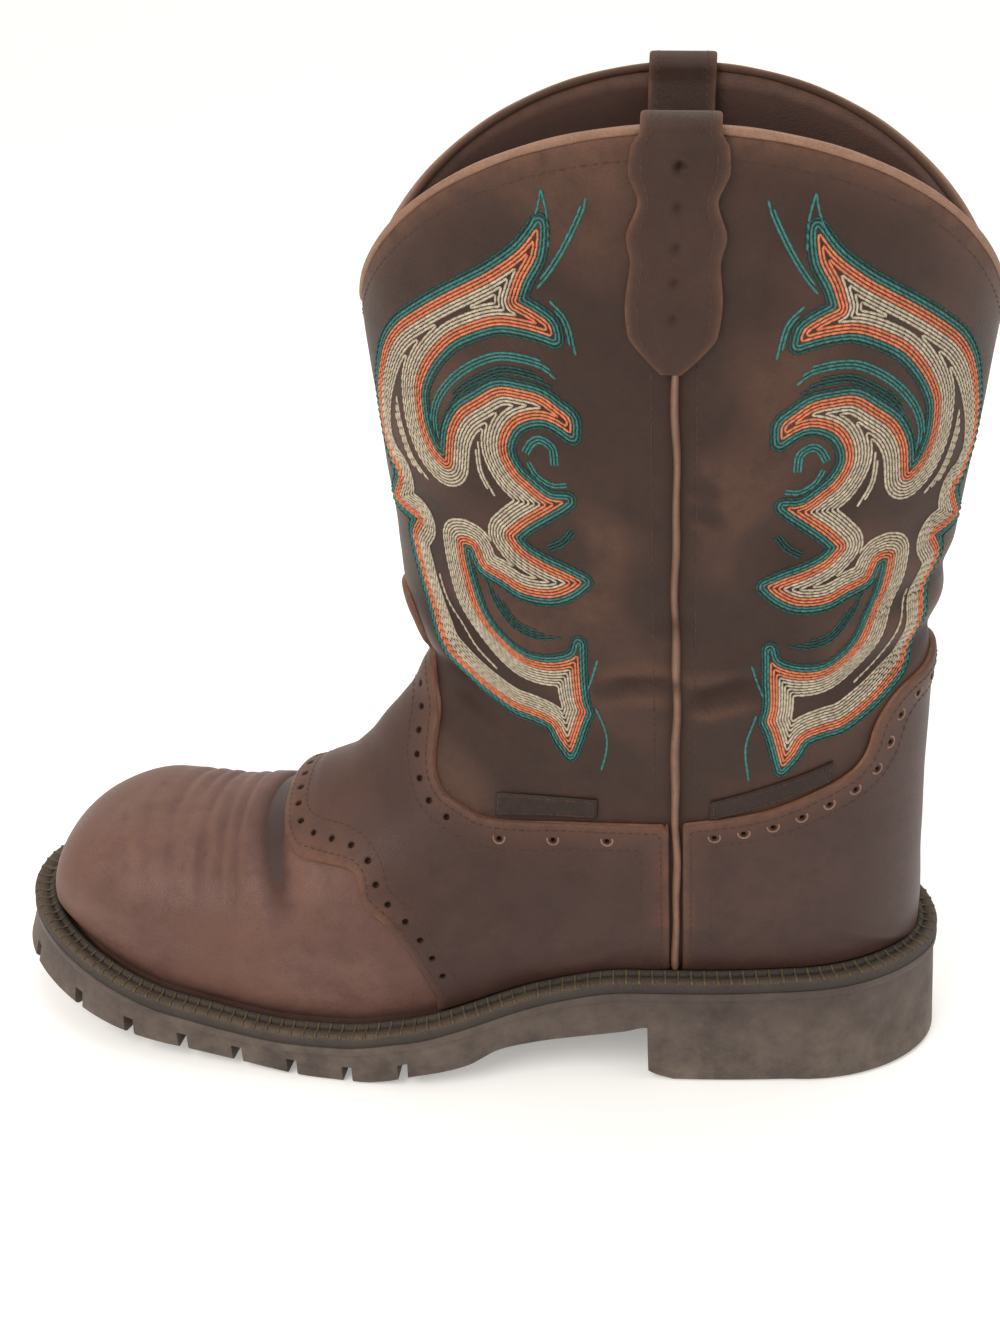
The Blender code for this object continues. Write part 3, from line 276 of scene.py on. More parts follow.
# Sections of the foot and of the leg, as in the part's source
Foot = namedtuple("Foot", "step front rise lateral medial widest crown wall")
FOOT = [
    Foot(0.00, 0.9665, 0.00 * TOE_BOX_HEIGHT, 0.000 * BALL_WIDTH, 0.000 * BALL_WIDTH, 0.66, 2.3, 2.2),
    Foot(0.08, 0.9590, 0.36 * TOE_BOX_HEIGHT, 0.160 * BALL_WIDTH, 0.235 * BALL_WIDTH, 0.66, 2.3, 2.2),
    Foot(0.16, 0.9175, 0.73 * TOE_BOX_HEIGHT, 0.285 * BALL_WIDTH, 0.365 * BALL_WIDTH, 0.67, 2.4, 2.2),
    Foot(0.24, 0.8490, 1.01 * TOE_BOX_HEIGHT, 0.373 * BALL_WIDTH, 0.440 * BALL_WIDTH, 0.68, 2.4, 2.2),
    Foot(0.32, 0.7730, 1.135 * TOE_BOX_HEIGHT, 0.412 * BALL_WIDTH, 0.458 * BALL_WIDTH, 0.68, 2.3, 2.2),
    Foot(0.40, 0.7025, 0.545 * INSTEP_HEIGHT, 0.445 * BALL_WIDTH, 0.425 * BALL_WIDTH, 0.66, 2.1, 2.2),
    Foot(0.48, 0.6495, 0.640 * INSTEP_HEIGHT, 0.455 * BALL_WIDTH, 0.375 * BALL_WIDTH, 0.63, 2.0, 2.2),
    Foot(0.56, 0.6130, 0.724 * INSTEP_HEIGHT, 0.535 * ANKLE_WIDTH, 0.475 * ANKLE_WIDTH, 0.60, 1.9, 2.2),
    Foot(0.64, 0.5850, 0.792 * INSTEP_HEIGHT, 0.515 * ANKLE_WIDTH, 0.480 * ANKLE_WIDTH, 0.58, 1.9, 2.3),
    Foot(0.72, 0.5670, 0.852 * INSTEP_HEIGHT, 0.505 * ANKLE_WIDTH, 0.485 * ANKLE_WIDTH, 0.56, 1.9, 2.3),
    Foot(0.80, 0.5540, 0.899 * INSTEP_HEIGHT, 0.500 * ANKLE_WIDTH, 0.490 * ANKLE_WIDTH, 0.54, 1.9, 2.3),
    Foot(0.90, 0.5450, 0.952 * INSTEP_HEIGHT, 0.500 * ANKLE_WIDTH, 0.495 * ANKLE_WIDTH, 0.52, 1.95, 2.2),
]
Leg = namedtuple("Leg", "step front_up back_up forward hollow spread widest crown wall")
LEG = [
    Leg(1.00, 0.000, 0.000, 0.00, 0.00, 0.00, 0.51, 2.00, 2.20),
    Leg(1.12, 0.052, 0.061, 0.09, 0.11, 0.06, 0.50, 2.00, 2.35),
    Leg(1.27, 0.121, 0.140, 0.32, 0.41, 0.15, 0.50, 2.00, 2.40),
    Leg(1.48, 0.220, 0.250, 0.47, 0.77, 0.32, 0.50, 2.00, 2.30),
    Leg(1.66, 0.306, 0.349, 0.56, 1.00, 0.49, 0.50, 2.00, 2.10),
    Leg(1.85, 0.400, 0.447, 0.68, 0.90, 0.67, 0.50, 2.00, 2.00),
    Leg(2.05, 0.490, 0.553, 0.79, 0.50, 0.82, 0.50, 2.00, 2.00),
    Leg(2.24, 0.578, 0.659, 0.91, 0.17, 0.92, 0.50, 2.00, 2.00),
    Leg(2.40, 0.665, 0.780, 1.00, 0.00, 1.00, 0.50, 2.00, 2.00),
    Leg(3.00, 1.000, 1.000, 1.00, 0.00, 1.00, 0.50, 2.00, 2.00),
]

# Edges of the overlays in side view: station of the sole, share of the throat's height
Edge = namedtuple("Edge", "along up")
SADDLE_FRONT = [
    Edge(0.523, -0.126),
    Edge(0.540, 0.020),
    Edge(0.557, 0.127),
    Edge(0.575, 0.193),
    Edge(0.599, 0.251),
    Edge(0.600, 0.320),
    Edge(0.608, 0.350),
    Edge(0.648, 0.333),
    Edge(0.669, 0.329),
    Edge(0.686, 0.361),
    Edge(0.694, 0.400),
    Edge(0.698, 0.455),
]
SADDLE_TOP = [
    Edge(0.562, 1.277),
    Edge(0.555, 1.242),
    Edge(0.550, 1.204),
    Edge(0.5375, 1.068),
    Edge(0.529, 0.950),
    Edge(0.523, 0.871),
    Edge(0.526, 0.783),
    Edge(0.528, 0.706),
    Edge(0.524, 0.646),
    Edge(0.515, 0.611),
    Edge(0.501, 0.594),
    Edge(0.471, 0.550),
    Edge(0.365, 0.584),
    Edge(0.303, 0.608),
]
COUNTER_TOP = [
    Edge(0.269, 0.616),
    Edge(0.228, 0.655),
    Edge(0.192, 0.692),
    Edge(0.148, 0.757),
    Edge(0.120, 0.803),
    Edge(0.107, 0.865),
    Edge(0.103, 0.958),
    Edge(0.090, 1.035),
    Edge(0.074, 1.079),
    Edge(0.049, 1.099),
    Edge(0.035, 1.198),
    Edge(0.005, 1.238),
]
Scallop = namedtuple("Scallop", "down half_width")
STRAP_SCALLOPS = [
    Scallop(0.00, 0.50),
    Scallop(0.05, 0.60),
    Scallop(0.15, 0.63),
    Scallop(0.27, 0.50),
    Scallop(0.42, 0.63),
    Scallop(0.52, 0.57),
    Scallop(0.70, 0.62),
    Scallop(0.83, 0.58),
    Scallop(0.93, 0.36),
    Scallop(1.00, 0.14),
]

# Creases in side view, in millimetres: places along them with their strength. side is
# -1 for the outer side, 1 for the inner side and 0 for both.
Crease = namedtuple("Crease", "side width depth places")
CREASES = [
    Crease(0, 4.6, 3.4, [
        (-187, 82, 1.0), (-184, 76, 1.0), (-181, 70, 0.85), (-178, 62, 0.5), (-178, 52, 0.0),
    ]),
    Crease(0, 3.5, 1.0, [(-194, 79, 0.6), (-192, 72, 1.0), (-189, 64, 0.7), (-189, 54, 0.0)]),
    Crease(0, 1.4, 0.85, [(-199, 77, 1.0), (-196, 70, 0.9), (-194, 62, 0.6), (-195, 52, 0.0)]),
    Crease(-1, 1.3, 0.75, [(-205, 76, 1.0), (-201, 70, 1.0), (-200, 63, 0.0)]),
    Crease(0, 1.4, 0.80, [(-211, 76, 0.8), (-208, 70, 1.0), (-205, 60, 0.4), (-206, 52, 0.0)]),
    Crease(1, 1.4, 0.70, [(-215, 75, 1.0), (-212, 69, 0.8), (-211, 60, 0.0)]),
    Crease(0, 1.4, 0.65, [(-222, 74, 1.0), (-218, 68, 0.9), (-216, 60, 0.0)]),
    Crease(-1, 1.3, 0.60, [(-230, 73, 0.9), (-226, 67, 0.8), (-224, 60, 0.0)]),
    Crease(-1, 1.3, 0.40, [(-237, 71, 0.9), (-233, 66, 0.8), (-231, 60, 0.0)]),
    Crease(0, 7.5, 1.9, [(-168, 86, 0.0), (-157, 91, 1.0), (-145, 95, 1.0), (-133, 97, 0.0)]),
    Crease(0, 5.0, 1.3, [(-165, 100, 0.8), (-152, 104, 0.8), (-140, 106, 0.0)]),
    Crease(0, 6.0, 1.5, [(-139, 164, 0.1), (-120, 158, 1.0), (-104, 153, 0.5), (-90, 150, 0.0)]),
    Crease(0, 9.0, -1.2, [(-144, 172, 0.4), (-141, 163, 1.0), (-143, 153, 0.3)]),
    Crease(0, 4.0, 1.1, [(-141, 140, 0.2), (-128, 138, 0.9), (-112, 140, 0.0)]),
    Crease(0, 2.4, 1.7, [(-78, 146, 0.0), (-67, 150, 1.0), (-57, 151, 0.8), (-50, 149, 0.0)]),
    Crease(0, 2.8, 2.1, [(-52, 146, 0.0), (-44, 147, 1.0), (-35, 150, 0.9), (-24, 153, 0.0)]),
    Crease(0, 6.0, 1.9, [(26, 156, 1.0), (14, 154, 1.0), (-2, 149, 0.6), (-18, 146, 0.0)]),
    Crease(0, 4.5, 1.2, [(26, 176, 0.8), (12, 173, 0.9), (-6, 166, 0.0)]),
    Crease(-1, 2.4, 0.8, [(-53, 218, 0.0), (-48, 215, 1.0), (-40, 210, 0.0)]),
    Crease(-1, 2.4, 0.7, [(-52, 211, 0.0), (-46, 207, 1.0), (-40, 202, 0.0)]),
    Crease(-1, 3.0, 0.8, [(-62, 172, 0.0), (-54, 172, 1.0), (-46, 171, 0.0)]),
    Crease(1, 3.0, 0.9, [(-70, 176, 0.0), (-58, 173, 1.0), (-44, 175, 0.0)]),
    Crease(0, 9.0, 1.2, [(-100, 205, 0.0), (-92, 190, 1.0), (-96, 172, 0.0)]),
    Crease(0, 9.0, 1.1, [(-14, 214, 0.0), (-22, 196, 1.0), (-16, 176, 0.0)]),
    Crease(0, 7.0, 1.0, [(-120, 62, 0.0), (-105, 70, 1.0), (-88, 74, 0.0)]),
]

# Scroll of the embroidery, one quarter of the shaft. across is the share of the way from
# the side seam to the front or back middle, up the height in millimetres. A row that
# ends in True is a point of the scroll, where its edge turns sharply.
SCROLL_SPAN = 112 * MM
SCROLL = [
    (0.31, 285, True), (0.36, 278), (0.43, 272), (0.49, 268), (0.57, 263), (0.65, 257.5),
    (0.72, 252), (0.78, 245), (0.83, 236.5), (0.87, 227), (0.89, 216), (0.85, 207), (0.82, 204),
    (0.90, 194, True), (0.76, 192, True), (0.80, 186), (0.79, 177), (0.78, 169),
    (0.78, 159), (0.75, 150), (0.67, 144), (0.59, 139), (0.51, 135), (0.45, 134),
    (0.39, 132), (0.36, 127), (0.32, 122, True), (0.29, 134), (0.27, 139, True),
    (0.28, 145), (0.27, 163, True), (0.29, 158), (0.36, 155), (0.44, 155), (0.50, 159),
    (0.55, 166), (0.58, 176), (0.59, 184), (0.59, 189, True), (0.56, 189), (0.54, 183),
    (0.48, 180), (0.42, 177), (0.34, 177), (0.28, 180), (0.24, 184, True), (0.29, 186),
    (0.35, 188), (0.40, 191), (0.43, 195, True), (0.39, 199), (0.34, 203), (0.29, 207),
    (0.27, 209, True), (0.32, 209), (0.37, 213), (0.40, 216), (0.42, 221), (0.41, 226),
    (0.38, 230), (0.33, 232), (0.29, 231), (0.25, 228, True), (0.25, 233), (0.28, 236),
    (0.32, 239), (0.37, 240), (0.43, 240), (0.49, 236), (0.55, 231), (0.59, 224),
    (0.61, 215, True), (0.64, 218), (0.66, 224), (0.66, 231), (0.65, 236), (0.61, 243),
    (0.55, 250), (0.49, 254), (0.42, 257), (0.36, 257), (0.31, 256), (0.28, 255, True),
    (0.29, 259), (0.33, 262), (0.37, 264, True), (0.35, 270), (0.32, 276), (0.31, 282),
]
# Further lines of the drawing: rows side by side, and the places along the first
TEAL_LINES = [
    (2, [(0.29, 265), (0.25, 260), (0.23, 251)]),
    (2, [(0.20, 292), (0.21, 288), (0.25, 279), (0.29, 272), (0.32, 268)]),
    (1, [(0.304, 293.5), (0.314, 288.5), (0.33, 284.3), (0.352, 281)]),
    (1, [(0.304, 293.5), (0.293, 288.5), (0.289, 284), (0.290, 279)]),
    (3, [
        (0.28, 244), (0.32, 247), (0.40, 248), (0.46, 246),
        (0.53, 241), (0.59, 234), (0.62, 227), (0.62, 221),
    ]),
    (3, [(0.38, 222), (0.36, 225.5), (0.33, 227), (0.295, 224.5), (0.29, 219)]),
    (2, [(0.27, 213), (0.31, 212.5), (0.35, 215), (0.37, 219)]),
    (1, [(0.22, 158), (0.24, 152), (0.26, 147)]),
    (1, [(0.24, 141), (0.21, 130), (0.22, 118)]),
]
CREAM_LINES = [
    (3, [(0.76, 230), (0.755, 222), (0.73, 213), (0.68, 207)]),
    (1, [(0.70, 176), (0.68, 165), (0.63, 155), (0.55, 148)]),
    (2, [(0.50, 223), (0.50, 214), (0.47, 207)]),
]
DIM_LINES = [
    (4, [(0.32, 164), (0.39, 162.5), (0.46, 165), (0.51, 172), (0.53, 179)]),
    (3, [(0.34, 193.5), (0.30, 196), (0.27, 200)]),
    (3, [(0.29, 241.5), (0.34, 243.5), (0.41, 244), (0.47, 241), (0.53, 236.5), (0.575, 230)]),
]


def paint(red, green, blue):
    """Linear colour of a finish, from the 0 to 255 values that a screen shows."""
    return tuple(((c / 255 + 0.055) / 1.055) ** 2.4 for c in (red, green, blue))


class LeatherSettings(bpy.types.PropertyGroup):
    """Leather of the upper, the overlays and the trim."""

    relief: bpy.props.FloatProperty(
        name="Crease depth", description="Strength of the creases", default=1.0, min=0.0, max=2.0,
        subtype="FACTOR",
    )
    grain: bpy.props.FloatProperty(
        name="Grain size", description="Distance between two pores", default=0.9 * MM, unit="LENGTH"
    )
    vamp: bpy.props.FloatVectorProperty(
        name="Vamp", description="Leather over the toes", default=paint(97, 67, 58), subtype="COLOR"
    )
    shaft: bpy.props.FloatVectorProperty(
        name="Shaft", description="Leather of the leg", default=paint(50, 31, 23), subtype="COLOR"
    )
    overlay: bpy.props.FloatVectorProperty(
        name="Overlays", description="Saddle, counter and straps", default=paint(61, 40, 34), subtype="COLOR"
    )
    edge: bpy.props.FloatVectorProperty(
        name="Cut edges", description="Edges and piping", default=paint(140, 106, 86), subtype="COLOR"
    )
    rust: bpy.props.FloatVectorProperty(
        name="Worn tint", description="Where leather is rubbed", default=paint(112, 76, 58), subtype="COLOR"
    )
    lining: bpy.props.FloatVectorProperty(
        name="Lining", description="Leather inside the shaft", default=paint(60, 41, 37), subtype="COLOR"
    )


class StitchSettings(bpy.types.PropertyGroup):
    """Threads of the embroidery and the seams."""

    spacing: bpy.props.FloatProperty(
        name="Row spacing", description="Distance between two rows", default=0.92 * MM, unit="LENGTH"
    )
    width: bpy.props.FloatProperty(
        name="Thread width", description="Width of one row", default=0.86 * MM, unit="LENGTH"
    )
    stitch: bpy.props.FloatProperty(
        name="Stitch length", description="Length of one stitch", default=2.4 * MM, unit="LENGTH"
    )
    teal: bpy.props.FloatVectorProperty(
        name="Teal", description="Outer rows", default=paint(64, 126, 120), subtype="COLOR"
    )
    orange: bpy.props.FloatVectorProperty(
        name="Orange", description="Rows at the scroll's edge", default=paint(222, 132, 94), subtype="COLOR"
    )
    cream: bpy.props.FloatVectorProperty(
        name="Cream", description="Inner rows", default=paint(202, 188, 165), subtype="COLOR"
    )
    seam: bpy.props.FloatVectorProperty(
        name="Seam thread", description="Thread of the seams", default=paint(84, 60, 48), subtype="COLOR"
    )


class SoleSettings(bpy.types.PropertyGroup):
    """Rubber sole, welt and footbed."""

    rubber: bpy.props.FloatVectorProperty(
        name="Rubber", description="Outsole and heel", default=paint(74, 60, 53), subtype="COLOR"
    )
    welt: bpy.props.FloatVectorProperty(
        name="Welt", description="Strip round the upper", default=paint(70, 56, 46), subtype="COLOR"
    )
    welt_thread: bpy.props.FloatVectorProperty(
        name="Welt thread", description="Stitches of the welt", default=paint(102, 86, 66), subtype="COLOR"
    )
    dust: bpy.props.FloatVectorProperty(
        name="Dust", description="Dust near the floor", default=paint(150, 136, 118), subtype="COLOR"
    )
    stitch_pitch: bpy.props.FloatProperty(
        name="Welt stitch pitch", description="Distance between two stitches", default=4.2 * MM, unit="LENGTH"
    )


class StageSettings(bpy.types.PropertyGroup):
    """Floor, lights and camera."""

    floor: bpy.props.FloatVectorProperty(
        name="Floor", description="Floor and backdrop", default=(0.86, 0.845, 0.82), subtype="COLOR"
    )
    sky: bpy.props.FloatProperty(
        name="Room light", description="Strength of the even light", default=0.74, min=0.0
    )
    key: bpy.props.FloatProperty(
        name="Window light", description="Power of the large light", default=11.5, min=0.0, unit="POWER"
    )


def ease(keys, values, at):
    """Monotone cubic through a table, so that a form has no bumps between its rows."""
    keys = np.asarray(keys, float)
    values = np.asarray(values, float)
    at = np.clip(np.asarray(at, float), keys[0], keys[-1])
    run = np.diff(keys)
    slope = np.diff(values) / run
    tangent = np.empty(len(keys))
    tangent[0] = slope[0]
    tangent[-1] = slope[-1]
    before, after = slope[:-1], slope[1:]
    same_way = before * after > 0
    weight = np.where(same_way, before * after, 0.0)
    tangent[1:-1] = np.where(same_way, 2 * weight / np.where(same_way, before + after, 1.0), 0.0)
    piece = np.clip(np.searchsorted(keys, at, side="right") - 1, 0, len(run) - 1)
    t = (at - keys[piece]) / run[piece]
    low, high = values[piece], values[piece + 1]
    pull_low = tangent[piece] * run[piece]
    pull_high = tangent[piece + 1] * run[piece]
    return (
        low * (1 + 2 * t) * (1 - t) ** 2
        + pull_low * t * (1 - t) ** 2
        + high * t**2 * (3 - 2 * t)
        - pull_high * t**2 * (1 - t)
    )


def column(rows, name):
    """One column of a table."""
    return [getattr(row, name) for row in rows]


def from_table(rows, name, at):
    """One column of a table, read between its rows."""
    return ease(column(rows, rows[0]._fields[0]), column(rows, name), at)


def unit(vectors):
    """Vectors of length one."""
    vectors = np.asarray(vectors, float)
    return vectors / np.maximum(np.linalg.norm(vectors, axis=-1), 1e-12)[..., None]


def rows_at(at, far, rows):
    """Rows of points, read at places along them."""
    return np.stack([np.interp(at, far, part) for part in rows.T], 1)


def length_along(points):
    """Length of a line up to each of its points."""
    return np.concatenate([[0], np.cumsum(np.linalg.norm(np.diff(points, axis=0), axis=1))])


def x_at(station):
    """Place along the boot of a share of the sole's length, counted from the heel."""
    return HEEL_BEHIND_ORIGIN - np.asarray(station) * SOLE_LENGTH


def station_at(x):
    """Share of the sole's length at a place along the boot."""
    return (HEEL_BEHIND_ORIGIN - np.asarray(x)) / SOLE_LENGTH


def rim_height(x):
    """Height of the sole's rim."""
    return from_table(RIM, "height", station_at(x))


def welt_top(x):
    """Height of the welt's upper face."""
    return rim_height(x) + WELT_THICKNESS


def tread_height(x):
    """Underside of the sole: the heel, its breast, the waist, the tread and the toe spring."""
    return from_table(WAIST, "height", station_at(x))


def swing(x):
    """Sideways place of the middle line, which turns inwards at the toe."""
    turned = np.clip((station_at(x) - 0.6) / 0.4, 0.0, 1.0)
    return TOE_SWING * turned**2


def round_ends(station):
    """Share of the full width that is left where the heel and the toe are rounded off."""
    heel = HEEL_ROUND / SOLE_LENGTH
    toe = TOE_ROUND / SOLE_LENGTH
    share = np.ones_like(station)
    at_heel = station < heel
    share[at_heel] = (1 - (1 - station[at_heel] / heel) ** 2.1).clip(0) ** (1 / 2.1)
    at_toe = station > 1 - toe
    share[at_toe] = (1 - ((station[at_toe] - 1 + toe) / toe) ** 2.2).clip(0) ** (1 / 2.2)
    return share


def fine_stations(count=721):
    """Stations of the sole, closest together at its two ends."""
    return (1 - np.cos(np.linspace(0, pi, count))) / 2


@lru_cache
def sole_edge(side):
    """Dense points of the sole's edge on one side, and the ways out of it."""
    station = fine_stations()
    name = "lateral" if side < 0 else "medial"
    x = x_at(station)
    y = swing(x) + side * from_table(PLAN, name, station) * round_ends(station)
    run = np.stack([np.gradient(x), np.gradient(y)], 1)
    return np.stack([x, y], 1), unit(np.stack([side * run[:, 1], -side * run[:, 0]], 1))


def outline(side, stations):
    """Points of the sole's edge on one side, and the directions that lead out of it."""
    points, out = sole_edge(side)
    turn = np.arccos(1 - 2 * np.clip(stations, 0, 1))
    known = np.arccos(1 - 2 * fine_stations())
    return rows_at(turn, known, points), unit(rows_at(turn, known, out))


def margin(station):
    """Width of the welt that shows, narrower round the heel."""
    share = np.clip((station - 0.25) / 0.25, 0.0, 1.0)
    share = share * share * (3 - 2 * share)
    return HEEL_MARGIN + (BALL_MARGIN - HEEL_MARGIN) * share


@lru_cache
def feather_line(side):
    """Where the upper meets the welt: the sole's edge moved in by the margin."""
    edge, ways = sole_edge(side)
    inner = edge - ways * margin(fine_stations())[:, None]
    inner[0, 1] = 0.0
    inner[-1, 1] = swing(inner[-1, 0])
    order = np.argsort(-inner[:, 0], kind="stable")
    return inner[order], ways[order]


def feather_ends():
    """Rear and front end of that line."""
    return x_at(0) - HEEL_MARGIN, x_at(1) + BALL_MARGIN


def feather_x(step):
    """Place along the boot where the foot section of this step meets the welt."""
    rear, front = feather_ends()
    return front + (rear - front) * (1 - np.cos(pi * np.clip(step, 0, 1))) / 2


def feather_y(x, side):
    """Sideways place of the feather line, and the way out of it."""
    inner, ways = feather_line(side)
    rear, front = feather_ends()
    turn, known = (
        np.arccos(np.clip(1 - 2 * (rear - place) / (rear - front), -1, 1))
        for place in (np.asarray(x), inner[:, 0])
    )
    return np.interp(turn, known, inner[:, 1]), unit(rows_at(turn, known, ways))


def feather_loop(out, up, count):
    """Closed loop a distance outside the feather line and above the sole's rim."""
    x = feather_x(np.linspace(0, 1, count + 1))
    sides = []
    for side in (-1, 1):
        y, way = feather_y(x, side)
        sides.append(np.stack([x, y], 1) + way * out[:, None])
    lateral, medial = sides
    lateral[[0, -1]] = (lateral[[0, -1]] + medial[[0, -1]]) / 2
    flat = np.concatenate([lateral, medial[-2:0:-1]])
    return np.column_stack([flat, rim_height(flat[:, 0]) + up])


def throat():
    """Front profile point where foot and leg meet."""
    x = float(x_at(THROAT_STATION))
    return x, float(welt_top(x)) + INSTEP_HEIGHT


def section_frame(step):
    """Ends of the sections in side view: front point, rear point, and half widths."""
    step = np.atleast_1d(np.asarray(step, float))
    throat_x, throat_z = throat()
    shaft_front = SHAFT_CENTRE - SHAFT_DEPTH / 2
    shaft_back = SHAFT_CENTRE + SHAFT_DEPTH / 2
    rear = feather_ends()[0]
    rear_z = float(welt_top(rear))
    leg_steps = column(LEG, "step")
    front_x = [float(x_at(row.front)) for row in FOOT]
    front_x += [throat_x + row.forward * (shaft_front - throat_x) for row in LEG]
    front_z = [float(welt_top(x_at(row.front))) + row.rise for row in FOOT]
    front_z += [throat_z + row.front_up * (SHAFT_HEIGHT - throat_z) for row in LEG]
    steps = column(FOOT, "step") + leg_steps
    spread = [(ANKLE_WIDTH + row.spread * (SHAFT_WIDTH - ANKLE_WIDTH)) / 2 for row in LEG]
    back_up = np.array(column(LEG, "back_up"))
    back_x = rear + back_up * (shaft_back - rear) - np.array(column(LEG, "hollow")) * ANKLE_HOLLOW
    back_z = rear_z + back_up * (SHAFT_HEIGHT - rear_z)
    in_foot = step <= 1.0
    foot_x = feather_x(step)
    frame = {
        "front_x": ease(steps, front_x, step),
        "front_z": ease(steps, front_z, step),
        "rear_x": np.where(in_foot, foot_x, ease(leg_steps, back_x, step)),
        "rear_z": np.where(in_foot, welt_top(foot_x), ease(leg_steps, back_z, step)),
        "widest": ease(steps, column(FOOT, "widest") + column(LEG, "widest"), step),
        "crown": ease(steps, column(FOOT, "crown") + column(LEG, "crown"), step),
        "wall": ease(steps, column(FOOT, "wall") + column(LEG, "wall"), step),
    }
    frame["middle"] = swing(frame["front_x"])
    for side, name in ((-1, "lateral"), (1, "medial")):
        width = ease(steps, column(FOOT, name) + spread, step)
        foot = np.where(in_foot, side * feather_y(foot_x, side)[0], 0.0)
        frame[name] = np.maximum(width, 1.01 * foot + 0.0001)
        frame[name + "_foot"] = foot
    return frame


def half_section(frame, index, side, points):
    """Half of one section: shares of the way down it, and sideways places."""
    name = "lateral" if side < 0 else "medial"
    middle = frame["middle"][index]
    reach = side * frame[name][index] - middle
    foot = side * frame[name + "_foot"][index] - middle if frame[name + "_foot"][index] else 0.0
    widest, crown, wall = (frame[key][index] for key in ("widest", "crown", "wall"))
    turn = np.linspace(0, pi / 2, points)
    down_top = widest * (1 - np.cos(turn) ** (2 / crown))
    side_top = np.sin(turn) ** (2 / crown)
    cut = 1 - max(foot / reach, 0.0) ** wall if reach else 1.0
    turn = np.linspace(0, np.arcsin(np.sqrt(min(cut, 1.0))), points)[1:]
    down_low = widest + (1 - widest) * (np.sin(turn) ** 2 / max(cut, 1e-9)) ** (1 / wall)
    side_low = np.cos(turn) ** (2 / wall)
    down = np.concatenate([down_top, down_low])
    sideways = middle + reach * np.concatenate([side_top, side_low])
    if frame[name + "_foot"][index]:
        sideways[-1] = side * frame[name + "_foot"][index]
    elif frame["rear_z"][index] > welt_top(frame["rear_x"][index]) - 1e-6:
        sideways[-1] = 0.0
    return down, sideways


def upper_ring(frame, index, columns):
    """Evenly spaced points round one section, from the outer side over the front."""
    start = np.array([frame["front_x"][index], frame["front_z"][index]])
    end = np.array([frame["rear_x"][index], frame["rear_z"][index]])
    length = np.linalg.norm(end - start)
    halves = []
    for side in (-1, 1):
        down, sideways = half_section(frame, index, side, 90)
        path = np.concatenate([[0], np.cumsum(np.hypot(np.diff(down * length), np.diff(sideways)))])
        at = np.linspace(0, path[-1], columns // 2 + 1)
        down = np.interp(at, path, down)
        sideways = np.interp(at, path, sideways)
        place = start + down[:, None] * (end - start)
        halves.append(np.stack([place[:, 0], sideways, place[:, 1]], 1))
    return np.concatenate([halves[0][::-1], halves[1][1:]])


def topline(x):
    """Height of the scalloped top edge over a place along the shaft."""
    across = np.clip((x - SHAFT_CENTRE) / (SHAFT_DEPTH / 2), -1, 1)
    dip = np.sqrt((1 - across**2) * (1 - SCALLOP_ROUND**2) + SCALLOP_ROUND**2)
    return SHAFT_HEIGHT - SCALLOP_DEPTH * (1 - dip) / (1 - SCALLOP_ROUND)


def seam_x(z):
    """Place of the side seams, which lean back a little towards the welt."""
    down = (SHAFT_HEIGHT - z) / (SHAFT_HEIGHT - HEEL_HEIGHT)
    return SHAFT_CENTRE - SEAM_SETBACK + SEAM_LEAN * down


def foot_steps():
    """Steps of the foot's rings, closest together where the vamp is creased."""
    return np.interp(np.linspace(0, 1, FOOT_RINGS + 1), [0, 0.14, 0.72, 1], [0, 0.14, 0.5, 1])


def upper_rings():
    """Rings of points over the whole upper, the leg's rings bent up to the topline."""
    steps = foot_steps()
    frame = section_frame(steps)
    rings = [upper_ring(frame, i, COLUMNS) for i in range(len(steps))]
    rings[0][:] = (rings[0][0] + rings[0][-1]) / 2
    dense = np.linspace(1, LEG[-1].step, 241)
    frame = section_frame(dense)
    leg = np.array([upper_ring(frame, i, COLUMNS) for i in range(len(dense))])
    over = leg[:, :, 2] - topline(leg[:, :, 0])
    levels = np.linspace(0, 1, LEG_RINGS + 1)[1:]
    bent = np.zeros((LEG_RINGS, COLUMNS + 1, 3))
    for j in range(COLUMNS + 1):
        first = int(np.argmax(over[:, j] > 0)) if np.any(over[:, j] > 0) else len(dense) - 1
        share = over[first - 1, j] / (over[first - 1, j] - over[first, j])
        at = levels * (first - 1 + np.clip(share, 0, 1))
        bent[:, j] = rows_at(at, np.arange(len(dense)), leg[:, j])
    return np.concatenate([np.array(rings), bent])


def line_distance(places, line):
    """Distance of places in a plane from a line through points, and the share along each."""
    best = np.full(len(places), np.inf)
    strength = np.zeros(len(places))
    line = np.asarray(line, float)
    for start, end in zip(line, line[1:]):
        way = end[:2] - start[:2]
        share = np.clip((places - start[:2]) @ way / max(way @ way, 1e-18), 0, 1)
        miss = np.linalg.norm(places - start[:2] - share[:, None] * way, axis=1)
        nearer = miss < best
        best[nearer] = miss[nearer]
        if line.shape[1] > 2:
            strength[nearer] = (start[2] + share * (end[2] - start[2]))[nearer]
    return best, strength


def inside(places, outline):
    """Which places lie inside a closed outline."""
    odd = np.zeros(len(places), bool)
    for (ax, az), (bx, bz) in zip(outline, np.roll(outline, -1, axis=0)):
        spans = (az > places[:, 1]) != (bz > places[:, 1])
        if az != bz:
            crossing = ax + (places[:, 1] - az) * (bx - ax) / (bz - az)
            odd ^= spans & (places[:, 0] < crossing)
    return odd


def outline_distance(places, outline):
    """Distance inside an outline, less than nothing outside it."""
    outline = np.asarray(outline, float)
    closed = np.concatenate([outline, outline[:1]])
    return line_distance(places, closed)[0] * np.where(inside(places, outline), 1, -1)


